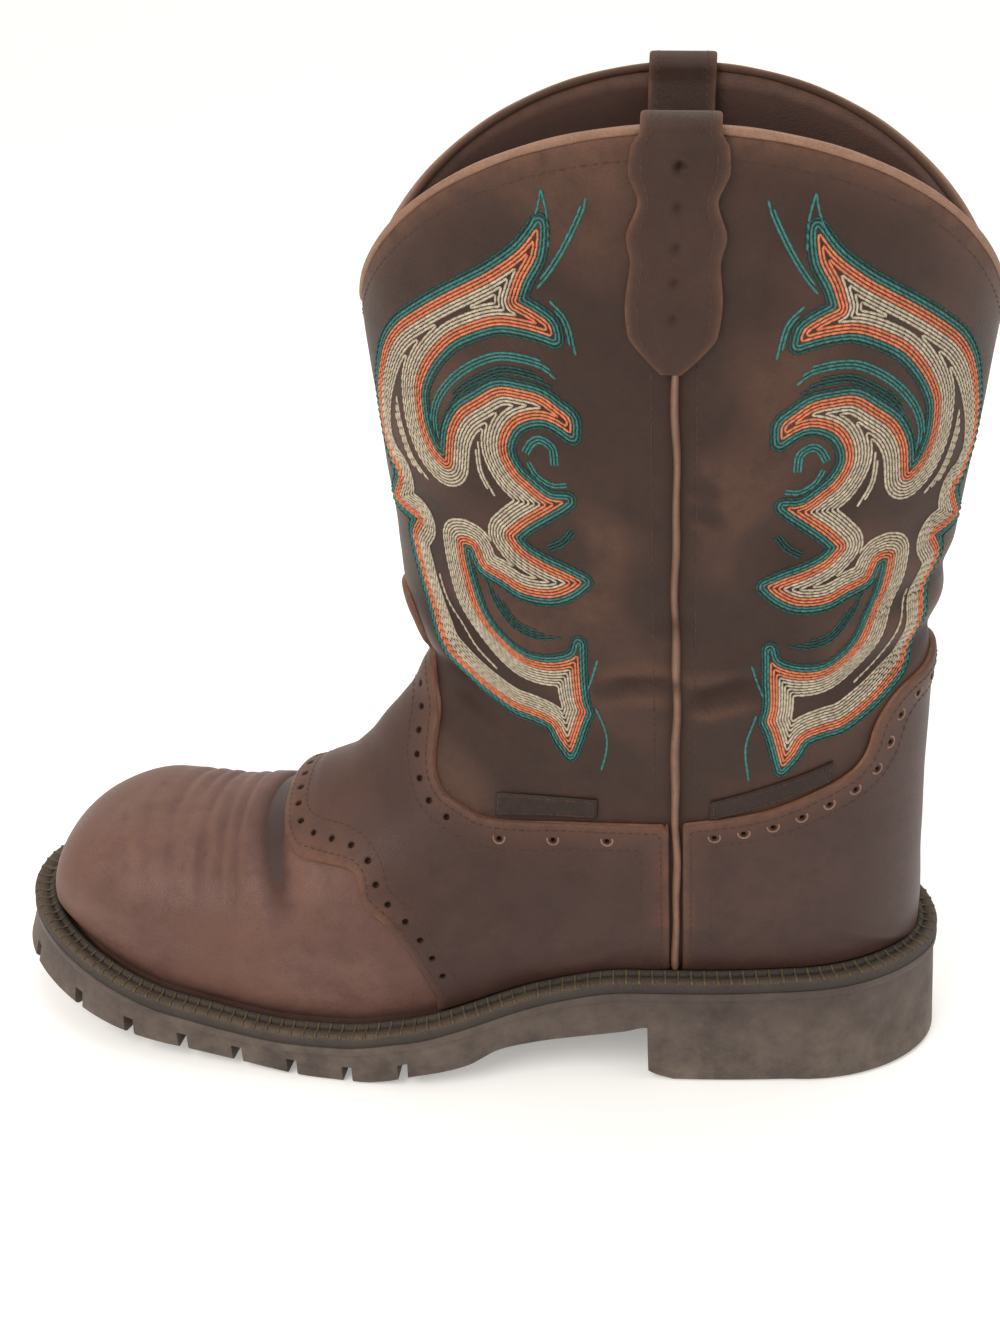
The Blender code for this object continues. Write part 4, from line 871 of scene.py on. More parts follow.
def relief(points):
    """How far the leather stands out of, or is creased into, its smooth form."""
    shape = points.shape[:-1]
    flat = points.reshape(-1, 3)
    side_view = flat[:, [0, 2]] / MM
    y = flat[:, 1] - swing(flat[:, 0])
    height = np.zeros(len(flat))
    for crease in CREASES:
        near, strength = line_distance(side_view, crease.places)
        share = near / crease.width
        dip = np.exp(-(share**2)) - 0.34 * np.exp(-(((share - 2.1) / 0.9) ** 2))
        if crease.side:
            strength = strength * np.clip(0.5 + crease.side * y / (24 * MM), 0, 1)
        height -= crease.depth * strength * dip
    x, z = side_view.T
    w = y / MM
    height += 0.42 * np.sin(x / 17 + 0.6 * np.sin(z / 23)) * np.sin(z / 21 + w / 31 + 1.3)
    height += 0.22 * np.sin(x / 8.5 + z / 13 + 2.1) * np.sin(z / 9.5 - w / 12)
    fade = np.clip((topline(flat[:, 0]) - flat[:, 2]) / (9 * MM), 0.15, 1)
    fade *= np.clip((flat[:, 2] - welt_top(flat[:, 0])) / (7 * MM), 0, 1)
    scale = bpy.context.scene.boot_leather.relief
    return (height * fade * scale * MM).reshape(shape)


class Skin:
    """Dense rings over the upper's outer face, with the creases pressed in."""

    def __init__(self):
        self.flat = upper_rings()
        self.out = self.ways()
        self.depth = relief(self.flat)
        self.points = self.flat + self.out * self.depth[..., None]
        self.trees = {}
        for side in (-1, 1):
            half = slice(0, COLUMNS // 2 + 1) if side < 0 else slice(COLUMNS // 2, None)
            points = self.points[1:, half].reshape(-1, 3)
            ways = self.out[1:, half].reshape(-1, 3)
            tree = kdtree.KDTree(len(points))
            for i, (x, _, z) in enumerate(points):
                tree.insert((x, 0, z), i)
            tree.balance()
            self.trees[side] = (tree, points, ways)

    def numbers(self):
        """Numbers of the grid's points, the same where a ring closes or shrinks to a point."""
        index = np.arange(self.points[..., 0].size).reshape(self.points.shape[:2])
        index[FOOT_RINGS:, -1] = index[FOOT_RINGS:, 0]
        index[0] = index[0, 0]
        return index

    def ways(self):
        """Directions out of the surface at each point."""
        across = np.gradient(self.flat, axis=1)
        leg = self.flat[FOOT_RINGS:]
        across[FOOT_RINGS:, 0] = (leg[:, 1] - leg[:, -2]) / 2
        across[FOOT_RINGS:, -1] = across[FOOT_RINGS:, 0]
        along = np.gradient(self.flat, axis=0)
        out = unit(np.cross(along, across))
        out[0] = unit(out[1].mean(0))
        return out

    def at(self, x, z, side, lift=0.0):
        """Point over a place in side view, lifted off the leather, and the way out."""
        tree, points, ways = self.trees[side]
        total, place, way = 0.0, 0.0, np.zeros(3)
        for _, index, miss in tree.find_n((x, 0, z), 4):
            weight = 1 / (miss + 0.05 * MM)
            point, out = points[index], ways[index]
            y = point[1]
            if abs(out[1]) > 0.2:
                y -= ((x - point[0]) * out[0] + (z - point[2]) * out[2]) / out[1]
            place += weight * y
            way += weight * out
            total += weight
        way = way / np.linalg.norm(way)
        return np.array([x, place / total, z]) + lift * way, way


@lru_cache
def skin():
    """The upper's outer face, worked out once."""
    return Skin()


class Mesh:
    """Points and faces of one piece while it is put together."""

    def __init__(self):
        self.points = []
        self.faces = []
        self.kinds = []
        self.count = 0

    def add(self, points, faces, kind=0):
        """Points, and faces that count them from nought."""
        points = np.asarray(points, float).reshape(-1, 3)
        self.points.append(points)
        self.faces += [tuple(int(i) + self.count for i in face) for face in faces]
        self.kinds += [kind] * len(faces)
        self.count += len(points)

    def strip(self, rings, closed=False):
        """Tube through rings of points, with flat ends unless it is closed."""
        rings = np.asarray(rings, float)
        rows, size = rings.shape[:2]
        faces = []
        for i in range(rows if closed else rows - 1):
            low, high = i * size, ((i + 1) % rows) * size
            faces += [(low + k, low + (k + 1) % size, high + (k + 1) % size, high + k) for k in range(size)]
        if not closed:
            faces.append(tuple(range(size))[::-1])
            faces.append(tuple((rows - 1) * size + k for k in range(size)))
        self.add(rings, faces)

    def make(self, name, materials, slot, stands_for=(), sharp=None, values=None):
        """The piece itself, with its finishes, its CAD nodes and its values at each point."""
        mesh = bpy.data.meshes.new(name)
        mesh.from_pydata(np.concatenate(self.points).tolist(), [], self.faces)
        for finish in materials:
            mesh.materials.append(finish)
        if len(materials) > 1:
            mesh.polygons.foreach_set("material_index", self.kinds)
        for key, value in (values or {}).items():
            attribute = mesh.attributes.new(key, "FLOAT", "POINT")
            attribute.data.foreach_set("value", np.asarray(value, np.float32).ravel())
        mesh.shade_smooth()
        if sharp:
            mesh.set_sharp_from_angle(angle=sharp)
        made = bpy.data.objects.new(name, mesh)
        bpy.context.scene.collection.objects.link(made)
        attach(made, "root")
        if stands_for:
            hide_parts(*stands_for)
        return made


def walk(path, pitch):
    """Places at an even pitch along a line, and the ways along it."""
    path = np.asarray(path, float)
    far = length_along(path)
    keep = np.concatenate([[True], np.diff(far) > 1e-9])
    path, far = path[keep], far[keep]
    at = np.arange(0, far[-1], pitch)
    spots, before, after = (rows_at(at + more * pitch, far, path) for more in (0, -0.3, 0.3))
    return spots, unit(after - before)


def strand(mesh, path, ways, half, rise):
    """Three-sided strand along a path, with its half width and its height at each point."""
    aside = unit(np.cross(ways, unit(np.gradient(path, axis=0))))
    low = path - ways * 0.06 * MM
    half, rise = (np.broadcast_to(value, len(path))[:, None] for value in (half, rise))
    mesh.strip(np.stack([low - aside * half, path + ways * rise, low + aside * half], 1))


def thread(mesh, path, ways, sewing):
    """One row of stitches: a low three-sided strand that sinks between the stitches."""
    far = length_along(path)
    keep = np.concatenate([[True], np.diff(far) > 1e-7])
    path, ways, far = path[keep], ways[keep], far[keep]
    if len(path) < 2 or far[-1] < sewing.stitch:
        return
    count = max(int(round(far[-1] / sewing.stitch)), 1)
    at = np.linspace(0, far[-1], 4 * count + 1)
    bump = np.tile([0.0, 0.78, 1.0, 0.78], count + 1)[: len(at)]
    half = sewing.width / 2 * (0.72 + 0.28 * bump)
    rise = sewing.height * (bump * (1 + sewing.dip) - sewing.dip)
    strand(mesh, rows_at(at, far, path), unit(rows_at(at, far, ways)), half, rise)


def surface_line(places, side, lift=0.0):
    """A line in side view laid on the leather of one side."""
    points, ways = zip(*(skin().at(x, z, side, lift) for x, z in places))
    return np.array(points), np.array(ways)


def rounded(line, rounds=2):
    """Line with its corners eased."""
    line = np.asarray(line, float)
    for _ in range(rounds):
        ahead = 0.75 * line[:-1] + 0.25 * line[1:]
        behind = 0.25 * line[:-1] + 0.75 * line[1:]
        line = np.concatenate([line[:1], np.stack([ahead, behind], 1).reshape(-1, 2), line[-1:]])
    return line


def edge_points(rows):
    """Places in side view of an overlay's edge."""
    rear_z = float(welt_top(feather_ends()[0]))
    height = throat()[1] - rear_z
    return np.array([(float(x_at(row.along)), rear_z + row.up * height) for row in rows])


def sole_side(first_x, last_x):
    """Places just above the welt, from one place along the boot to another."""
    run = np.linspace(first_x, last_x, 40)
    return np.array([(float(x), float(welt_top(x)) + CLEARANCE) for x in run])


def seam_foot():
    """Height at which the side seams end above the welt."""
    return float(welt_top(seam_x(HEEL_HEIGHT))) + CLEARANCE


def seam_side(way, start, end):
    """Places beside the side seam's piping, from one height to another."""
    offset = way * (PIPING_WIDTH / 2 + 2 * CLEARANCE)
    run = np.linspace(start, end, 25)
    return np.array([(float(seam_x(z)) + offset, float(z)) for z in run])


def saddle_outline():
    """Outline of the saddle in side view, open over the instep."""
    front = rounded(edge_points(SADDLE_FRONT))
    rows = edge_points(SADDLE_TOP)
    seam = seam_side(-1, rows[-1][1], seam_foot())
    rows[-1] = seam[0]
    top = rounded(rows)
    over = np.array([(front[-1][0] - 0.03, front[-1][1] + 0.06), (top[0][0] - 0.03, top[0][1])])
    bottom = sole_side(seam[-1][0], front[0][0])
    return np.concatenate([front, over, top, seam[1:-1], bottom])


def counter_outline():
    """Outline of the counter in side view, open round the heel."""
    rows = edge_points(COUNTER_TOP)
    seam = seam_side(1, seam_foot(), rows[0][1])
    rows[0] = seam[-1]
    top = rounded(rows)
    past = float(x_at(0)) + 0.03
    bottom = sole_side(float(x_at(0)), seam[0][0])
    beyond = np.array([(past, top[-1][1]), (past, bottom[0][1])])
    return np.concatenate([seam[:-1], top, beyond, bottom[:-1]])


def overlay_outline(name):
    """Outline of one of the two overlays."""
    return saddle_outline() if name == "saddle" else counter_outline()


def chains(links):
    """Runs of neighbours, end to end. A closed run returns to its start."""
    made, seen = [], set()
    for start in sorted(links, key=lambda key: len(links[key])):
        if start in seen:
            continue
        chain, here = [start], start
        seen.add(start)
        while True:
            ahead = [key for key in links[here] if key not in seen]
            if not ahead:
                break
            here = ahead[0]
            seen.add(here)
            chain.append(here)
        if len(chain) > 2 and start in links[here]:
            chain.append(start)
        made.append(chain)
    return made


Sheet = namedtuple("Sheet", "points ways faces edge")


@lru_cache
def overlay_sheet(name):
    """The leather under an overlay: its points, ways out, triangles and reach inside the edge."""
    surface = skin()
    index = surface.numbers()
    a, b, c, d = index[:-1, :-1], index[:-1, 1:], index[1:, 1:], index[1:, :-1]
    faces = np.concatenate([np.stack([c, b, a], -1).reshape(-1, 3), np.stack([d, c, a], -1).reshape(-1, 3)])
    faces = faces[(faces[:, 0] != faces[:, 1]) & (faces[:, 1] != faces[:, 2]) & (faces[:, 0] != faces[:, 2])]
    points = surface.points.reshape(-1, 3)
    edge = outline_distance(points[:, [0, 2]], overlay_outline(name))
    faces = faces[(edge[faces] > -SHEET_SPARE).any(1)]
    used, faces = np.unique(faces, return_inverse=True)
    return Sheet(points[used], surface.out.reshape(-1, 3)[used], faces.reshape(-1, 3), edge[used])


def contour(name, inset):
    """Lines a distance inside an overlay's edge, clear of the welt, with the ways out."""
    sheet = overlay_sheet(name)
    above = sheet.edge > inset
    links = defaultdict(list)
    for face in sheet.faces[above[sheet.faces].any(1) & ~above[sheet.faces].all(1)].tolist():
        sides = zip(face, face[1:] + face[:1])
        first, second = ((min(pair), max(pair)) for pair in sides if above[pair[0]] != above[pair[1]])
        links[first].append(second)
        links[second].append(first)
    lines = []
    for chain in chains(links):
        low, high = np.array(chain).T
        share = ((inset - sheet.edge[low]) / (sheet.edge[high] - sheet.edge[low]))[:, None]
        path = sheet.points[low] + share * (sheet.points[high] - sheet.points[low])
        ways = unit(sheet.ways[low] + share * (sheet.ways[high] - sheet.ways[low]))
        clear = above_welt(path) > inset + 1.5 * MM
        first = int(np.argmin(clear))
        path, ways, clear = (np.roll(value, -first, axis=0) for value in (path, ways, clear))
        ends = np.flatnonzero(np.diff(np.concatenate([[False], clear, [False]]).astype(int)))
        lines += [(path[i:j], ways[i:j]) for i, j in zip(ends[::2], ends[1::2]) if j - i > 8]
    return lines


def resampled(path, ways, pitch):
    """Places at an even pitch along a line, with the ways out and the ways along there."""
    far = length_along(path)
    at = np.arange(0.5 * pitch, far[-1], pitch)
    place, after = (rows_at(at + more, far, path) for more in (0, 0.4 * MM))
    return place, unit(rows_at(at, far, ways)), unit(after - place)


def split_at(data, faces, field, level):
    """Cuts triangles along one level of a field, so that its line runs along edges."""
    data = data.copy()
    value = data[:, field] - level
    near = np.abs(value) < 0.06 * MM
    data[near, field] = level
    sign = np.where(near, 0, np.sign(value)).astype(int)
    corner = sign[faces]
    crossing = (corner.min(1) < 0) & (corner.max(1) > 0)
    made, rows, added = {}, [], []

    def cut(a, b):
        """Point where a side crosses the level."""
        key = (min(a, b), max(a, b))
        if key not in made:
            share = (level - data[key[0], field]) / (data[key[1], field] - data[key[0], field])
            row = data[key[0]] + share * (data[key[1]] - data[key[0]])
            row[field] = level
            made[key] = len(data) + len(rows)
            rows.append(row)
        return made[key]

    for face in faces[crossing].tolist():
        signs = [sign[i] for i in face]
        if 0 in signs:
            turn = signs.index(0)
            a, b, c = face[turn:] + face[:turn]
            middle = cut(b, c)
            added += [(a, b, middle), (a, middle, c)]
        else:
            turn = next(i for i in range(3) if signs.count(signs[i]) == 1)
            a, b, c = face[turn:] + face[:turn]
            first, second = cut(a, b), cut(a, c)
            added += [(a, first, second), (first, b, c), (first, c, second)]
    if rows:
        data = np.concatenate([data, np.array(rows)])
    kept = faces[~crossing]
    return data, np.concatenate([kept, np.array(added, int)]) if added else kept


def refined(points, faces, centres, reach, rounds):
    """Triangles made finer round the centres."""
    bm = bmesh.new()
    verts = [bm.verts.new(p) for p in points]
    for face in faces:
        bm.faces.new([verts[i] for i in face])
    tree = kdtree.KDTree(len(centres))
    for i, centre in enumerate(centres):
        tree.insert(centre, i)
    tree.balance()
    for _ in range(rounds):
        near = [e for e in bm.edges if min(tree.find(v.co)[2] for v in e.verts) < reach]
        bmesh.ops.subdivide_edges(bm, edges=near, cuts=1, use_grid_fill=True)
        bmesh.ops.triangulate(bm, faces=bm.faces)
    bm.verts.index_update()
    bm.normal_update()
    points = np.array([v.co for v in bm.verts])
    ways = np.array([v.normal for v in bm.verts])
    faces = np.array([[v.index for v in f.verts] for f in bm.faces])
    bm.free()
    return points, ways, faces


def overlay(name, holes, materials):
    """Leather laid over the upper, with rounded cut edges and punched holes."""
    sheet = overlay_sheet(name)
    centres = np.array([place for place, _ in holes])
    sizes = np.array([size for _, size in holes])
    points, ways, faces = refined(sheet.points, sheet.faces, centres, 2.2 * MM, 2)
    hole = (np.linalg.norm(points[:, None] - centres[None], axis=2) / sizes).min(1)
    edge = outline_distance(points[:, [0, 2]], overlay_outline(name))
    data = np.column_stack([points, ways, edge, hole])
    for level in (0.0, 0.35 * MM, 0.9 * MM):
        data, faces = split_at(data, faces, EDGE_FIELD, level)
        faces = faces[data[faces, EDGE_FIELD].mean(1) > 0]
    for level in (0.72 * MM, 1.0 * MM):
        data, faces = split_at(data, faces, HOLE_FIELD, level)
    used, faces = np.unique(faces, return_inverse=True)
    faces = faces.reshape(-1, 3)
    data = data[used]
    points, ways = data[:, :3], unit(data[:, 3:6])
    if (ways * np.sign(points[:, 1:2]) * [0, 1, 0]).sum() < 0:
        ways = -ways
        faces = faces[:, ::-1]
    edge, hole = data[:, EDGE_FIELD], data[:, HOLE_FIELD]
    rise = (CLEARANCE + OVERLAY) * np.interp(edge / MM, [0, 0.35, 0.9, 2.0], [0.62, 0.86, 0.97, 1.0])
    pit = np.interp(hole / MM, [0, 0.72, 1.0, 1.5], [0.16, 0.2, 0.93, 1.0])
    top = points + ways * (rise * pit)[:, None]
    bottom = points + ways * 0.08 * MM
    count = len(points)
    mesh = Mesh()
    mesh.add(np.concatenate([top, bottom]), faces.tolist())
    under = (faces[:, ::-1] + count).tolist()
    sides = defaultdict(int)
    for face in faces.tolist():
        for i in range(3):
            sides[(face[i], face[(i + 1) % 3])] += 1
    wall = [(j, i, i + count, j + count) for i, j in sides if (j, i) not in sides]
    mesh.faces += [tuple(f) for f in under] + wall
    mesh.kinds += [0] * len(under) + [1] * len(wall)
    rub = 0.6 * np.exp(-np.maximum(edge, 0) / (1.1 * MM))
    trim = np.maximum(edge, 0) + 12 * MM * (points[:, 2] < WELT_RUB_HEIGHT)
    rub += 0.32 * np.exp(-((trim / (7 * MM)) ** 2))
    # painted light: the saddle's front is painted lighter towards the toe, as if lit from the front; it rides
    # in the wear value
    rub += 0.35 * np.clip((SADDLE_PAINTED_LIGHT_X - points[:, 0]) / (50 * MM), 0, 1)
    # painted shade: darker inside the punched holes and in the crevice just above the welt
    dark = np.clip(1 - (hole / MM - 0.6) / 0.9, 0, 1)
    dark += 0.5 * np.exp(-((above_welt(points) / (2.5 * MM)) ** 2))
    values = {"wear": np.tile(np.clip(rub, 0, 1), 2), "shade": np.tile(np.clip(dark, 0, 1), 2)}
    mesh.make(name + "_leather", materials, "overlay_leather", (name,), 0.9, values)


def above_welt(points):
    """Height above the welt; painted shade fills the crevice just above it."""
    return points[:, 2] - welt_top(points[:, 0])


def add(tree, kind, inputs=None, **settings):
    """A node with its settings, and its inputs set or linked."""
    node = tree.nodes.new(kind)
    for key, value in settings.items():
        setattr(node, key, value)
    for key, value in (inputs or {}).items():
        if isinstance(value, bpy.types.NodeSocket):
            tree.links.new(value, node.inputs[key])
        else:
            node.inputs[key].default_value = value
    return node


def group(name, inputs, outputs):
    """Empty node group with named sockets: its tree, its inputs and its output node."""
    tree = bpy.data.node_groups.new(name, "ShaderNodeTree")
    for label, kind, value in inputs:
        socket = tree.interface.new_socket(label, in_out="INPUT", socket_type="NodeSocket" + kind)
        socket.default_value = value
    for label, kind in outputs:
        tree.interface.new_socket(label, in_out="OUTPUT", socket_type="NodeSocket" + kind)
    return tree, tree.nodes.new("NodeGroupInput").outputs, tree.nodes.new("NodeGroupOutput")


def noise(tree, coords, scale, detail=4.0, roughness=0.55):
    """Noise of a scale given per metre."""
    inputs = {"Vector": coords, "Scale": scale, "Detail": detail, "Roughness": roughness}
    return add(tree, "ShaderNodeTexNoise", inputs).outputs["Fac"]


def ramp(tree, value, low, high, bottom=0.0, top=1.0):
    """A value moved from one range to another."""
    inputs = {"Value": value, "From Min": low, "From Max": high, "To Min": bottom, "To Max": top}
    return add(tree, "ShaderNodeMapRange", inputs).outputs["Result"]


def maths(tree, operation, *values):
    """Result of one operation."""
    return add(tree, "ShaderNodeMath", dict(enumerate(values)), operation=operation).outputs[0]


def blend_colour(tree, share, first, second):
    """Colour between two colours."""
    node = add(tree, "ShaderNodeMix", data_type="RGBA")
    for socket, value in ((0, share), (6, first), (7, second)):
        if isinstance(value, bpy.types.NodeSocket):
            tree.links.new(value, node.inputs[socket])
        elif socket:
            node.inputs[socket].default_value = (*value[:3], 1.0)
        else:
            node.inputs[socket].default_value = value
    return node.outputs[2]


@lru_cache
def grain_group():
    """Pores and fine folds of leather: a height, and a mask of the pores."""
    tree, given, out = group(
        "Leather Grain", [("Pores per Metre", "Float", 1100.0), ("Fold Share", "Float", 0.5)],
        [("Height", "Float"), ("Pores", "Float")],
    )
    coords = add(tree, "ShaderNodeTexCoord").outputs["Object"]
    cells = add(
        tree, "ShaderNodeTexVoronoi", {"Vector": coords, "Scale": given[0]}, feature="DISTANCE_TO_EDGE"
    ).outputs["Distance"]
    folds = noise(tree, coords, 260.0, 6.0, 0.62)
    pores = ramp(tree, cells, 0.0, 0.12, 1.0, 0.0)
    share = maths(tree, "MULTIPLY", folds, given[1])
    height = maths(tree, "SUBTRACT", share, maths(tree, "MULTIPLY", pores, 0.35))
    tree.links.new(height, out.inputs[0])
    tree.links.new(pores, out.inputs[1])
    return tree


@lru_cache
def worn_group():
    """Uneven colour of oiled leather: pulled lighter and rusty by wear, dark by shade."""
    tree, given, out = group(
        "Worn Leather",
        [
            ("Base", "Color", (0.1, 0.05, 0.04, 1)), ("Worn", "Color", (0.2, 0.1, 0.06, 1)),
            ("Wear", "Float", 0.0), ("Shade", "Float", 0.0), ("Mottle", "Float", 0.6),
        ],
        [("Color", "Color"), ("Roughness", "Float")],
    )
    coords = add(tree, "ShaderNodeTexCoord").outputs["Object"]
    broad = noise(tree, coords, 26.0, 5.0, 0.6)
    fine = noise(tree, coords, 150.0, 5.0, 0.65)
    patches = ramp(tree, broad, 0.42, 0.68)
    pale = add(tree, "ShaderNodeHueSaturation", {"Color": given[0], "Saturation": 0.92, "Value": 1.75})
    deep = add(tree, "ShaderNodeHueSaturation", {"Color": given[0], "Saturation": 1.02, "Value": 0.62})
    share = maths(tree, "MULTIPLY", patches, given[4])
    colour = blend_colour(tree, share, given[0], pale.outputs[0])
    streaks = ramp(tree, fine, 0.45, 0.75, 0.0, 0.55)
    colour = blend_colour(tree, streaks, colour, deep.outputs[0])
    rub = maths(tree, "MULTIPLY", given[2], ramp(tree, fine, 0.25, 0.6, 0.25, 1.0))
    colour = blend_colour(tree, rub, colour, given[1])
    # painted shade: the shade value darkens the colour towards near black in creases, crevices and holes
    painted_shade = maths(tree, "MULTIPLY", given[3], 0.75)
    colour = blend_colour(tree, painted_shade, colour, (0.034, 0.015, 0.010))
    rough = ramp(tree, broad, 0.3, 0.75, 0.38, 0.55)
    rough = maths(tree, "ADD", rough, maths(tree, "MULTIPLY", given[2], 0.14))
    rough = maths(tree, "ADD", rough, maths(tree, "MULTIPLY", given[3], 0.4))
    tree.links.new(colour, out.inputs[0])
    tree.links.new(rough, out.inputs[1])
    return tree


@lru_cache
def dust_group():
    """Dust that lies thicker near the floor and in patches: a mask."""
    tree, given, out = group(
        "Floor Dust",
        [("Low", "Float", 0.0), ("High", "Float", 0.05), ("Amount", "Float", 0.6)],
        [("Mask", "Float")],
    )
    coords = add(tree, "ShaderNodeTexCoord").outputs["Object"]
    height = add(tree, "ShaderNodeSeparateXYZ", {0: coords}).outputs["Z"]
    low = ramp(tree, height, given[0], given[1], 1.0, 0.0)
    patch = ramp(tree, noise(tree, coords, 60.0, 8.0, 0.7), 0.38, 0.66)
    mask = maths(tree, "MULTIPLY", maths(tree, "MULTIPLY", low, patch), given[2])
    tree.links.new(mask, out.inputs[0])
    return tree


@lru_cache
def fibre_group():
    """Fine twist of thread or weave: a height, and a mask that varies its tone."""
    tree, given, out = group(
        "Fibre Twist", [("Strands per Metre", "Float", 2600.0)], [("Height", "Float"), ("Tone", "Float")]
    )
    coords = add(tree, "ShaderNodeTexCoord").outputs["Object"]
    strands = noise(tree, coords, given[0], 2.0, 0.5)
    tone = ramp(tree, noise(tree, coords, 420.0, 3.0, 0.6), 0.3, 0.7)
    tree.links.new(strands, out.inputs[0])
    tree.links.new(tone, out.inputs[1])
    return tree


def finish(name):
    """New material, its node tree and its shader."""
    made = bpy.data.materials.new(name)
    made.use_nodes = True
    return made, made.node_tree, made.node_tree.nodes["Principled BSDF"]


def placed(tree, made, inputs):
    """A node group placed in a material with its own values: its outputs."""
    node = add(tree, "ShaderNodeGroup", node_tree=made)
    for key, value in inputs.items():
        if isinstance(value, bpy.types.NodeSocket):
            tree.links.new(value, node.inputs[key])
        elif isinstance(value, (int, float)):
            node.inputs[key].default_value = value
        else:
            node.inputs[key].default_value = (*value[:3], 1.0)
    return node.outputs


def bump(tree, shader, height, strength, distance):
    """Fine relief from a height."""
    node = add(tree, "ShaderNodeBump", {"Strength": strength, "Distance": distance, "Height": height})
    tree.links.new(node.outputs["Normal"], shader.inputs["Normal"])


@lru_cache
def leather(name, mottle=0.6, grain=0.5, depth=0.35):
    """Oiled leather with pores, uneven colour and rubbed edges, in the setting's colour."""
    settings = bpy.context.scene.boot_leather
    made, tree, shader = finish(name + "_leather")
    wear = add(tree, "ShaderNodeAttribute", attribute_name="wear").outputs["Fac"]
    shade = add(tree, "ShaderNodeAttribute", attribute_name="shade").outputs["Fac"]
    grains = placed(tree, grain_group(), {"Pores per Metre": 1 / settings.grain, "Fold Share": grain})
    base = getattr(settings, name)
    inputs = {"Base": base, "Worn": settings.rust, "Wear": wear, "Shade": shade, "Mottle": mottle}
    worn = placed(tree, worn_group(), inputs)
    dark = maths(tree, "MULTIPLY", grains["Pores"], 0.22)
    colour = blend_colour(tree, dark, worn["Color"], (0.02, 0.012, 0.01))
    tree.links.new(colour, shader.inputs["Base Color"])
    tree.links.new(worn["Roughness"], shader.inputs["Roughness"])
    shader.inputs["Specular IOR Level"].default_value = 0.27
    bump(tree, shader, grains["Height"], depth, 0.4 * MM)
    return made


@lru_cache
def rubber():
    """Moulded rubber, dusty and scuffed."""
    settings = bpy.context.scene.boot_sole
    made, tree, shader = finish("sole_rubber_finish")
    coords = add(tree, "ShaderNodeTexCoord").outputs["Object"]
    patches = ramp(tree, noise(tree, coords, 45.0, 8.0, 0.7), 0.35, 0.7)
    base = blend_colour(tree, patches, settings.rubber, [0.62 * c for c in settings.rubber])
    dust = placed(tree, dust_group(), {"Low": 0.0, "High": 0.045, "Amount": 0.35})
    colour = blend_colour(tree, dust["Mask"], base, settings.dust)
    scuffs = ramp(tree, noise(tree, coords, 210.0, 6.0, 0.7), 0.56, 0.72, 0.0, 0.35)
    colour = blend_colour(tree, scuffs, colour, [1.5 * c for c in settings.rubber])
    tree.links.new(colour, shader.inputs["Base Color"])
    rough = ramp(tree, patches, 0.0, 1.0, 0.62, 0.82)
    tree.links.new(rough, shader.inputs["Roughness"])
    pits = noise(tree, coords, 900.0, 3.0, 0.6)
    bump(tree, shader, maths(tree, "ADD", pits, scuffs), 0.35, 0.35 * MM)
    return made


@lru_cache
def welting():
    """Dark welt leather, dustier low down, with painted shade in its crevice, its groove and down its outer
    edge.
    """
    settings = bpy.context.scene.boot_sole
    made, tree, shader = finish("welt_finish")
    grains = placed(tree, grain_group(), {"Pores per Metre": 800.0, "Fold Share": 0.8})
    dust = placed(tree, dust_group(), {"Low": 0.0, "High": 0.09, "Amount": 0.75})
    dark = blend_colour(tree, grains["Pores"], settings.welt, [0.5 * c for c in settings.welt])
    shade = add(tree, "ShaderNodeAttribute", attribute_name="shade").outputs["Fac"]
    colour = blend_colour(tree, dust["Mask"], dark, settings.welt_thread)
    # painted shade: the welt is darkened in its crevice beside the upper, its groove and its outer edge
    colour = blend_colour(tree, shade, colour, (0.012, 0.009, 0.008))
    tree.links.new(colour, shader.inputs["Base Color"])
    shader.inputs["Roughness"].default_value = 0.74
    bump(tree, shader, grains["Height"], 0.5, 0.4 * MM)
    return made


@lru_cache
def yarn(name, colour):
    """Thread or woven stuff of one colour, with fine strands."""
    made, tree, shader = finish(name + "_thread")
    fibres = placed(tree, fibre_group(), {"Strands per Metre": 2600.0})
    shown = blend_colour(tree, fibres["Tone"], [0.62 * c for c in colour], colour)
    tree.links.new(shown, shader.inputs["Base Color"])
    shader.inputs["Roughness"].default_value = 0.58
    shader.inputs["Specular IOR Level"].default_value = 0.25
    bump(tree, shader, fibres["Height"], 0.5, 0.12 * MM)
    return made


def seam_yarn():
    """Thread of the seams."""
    return yarn("seam", tuple(bpy.context.scene.boot_stitching.seam))


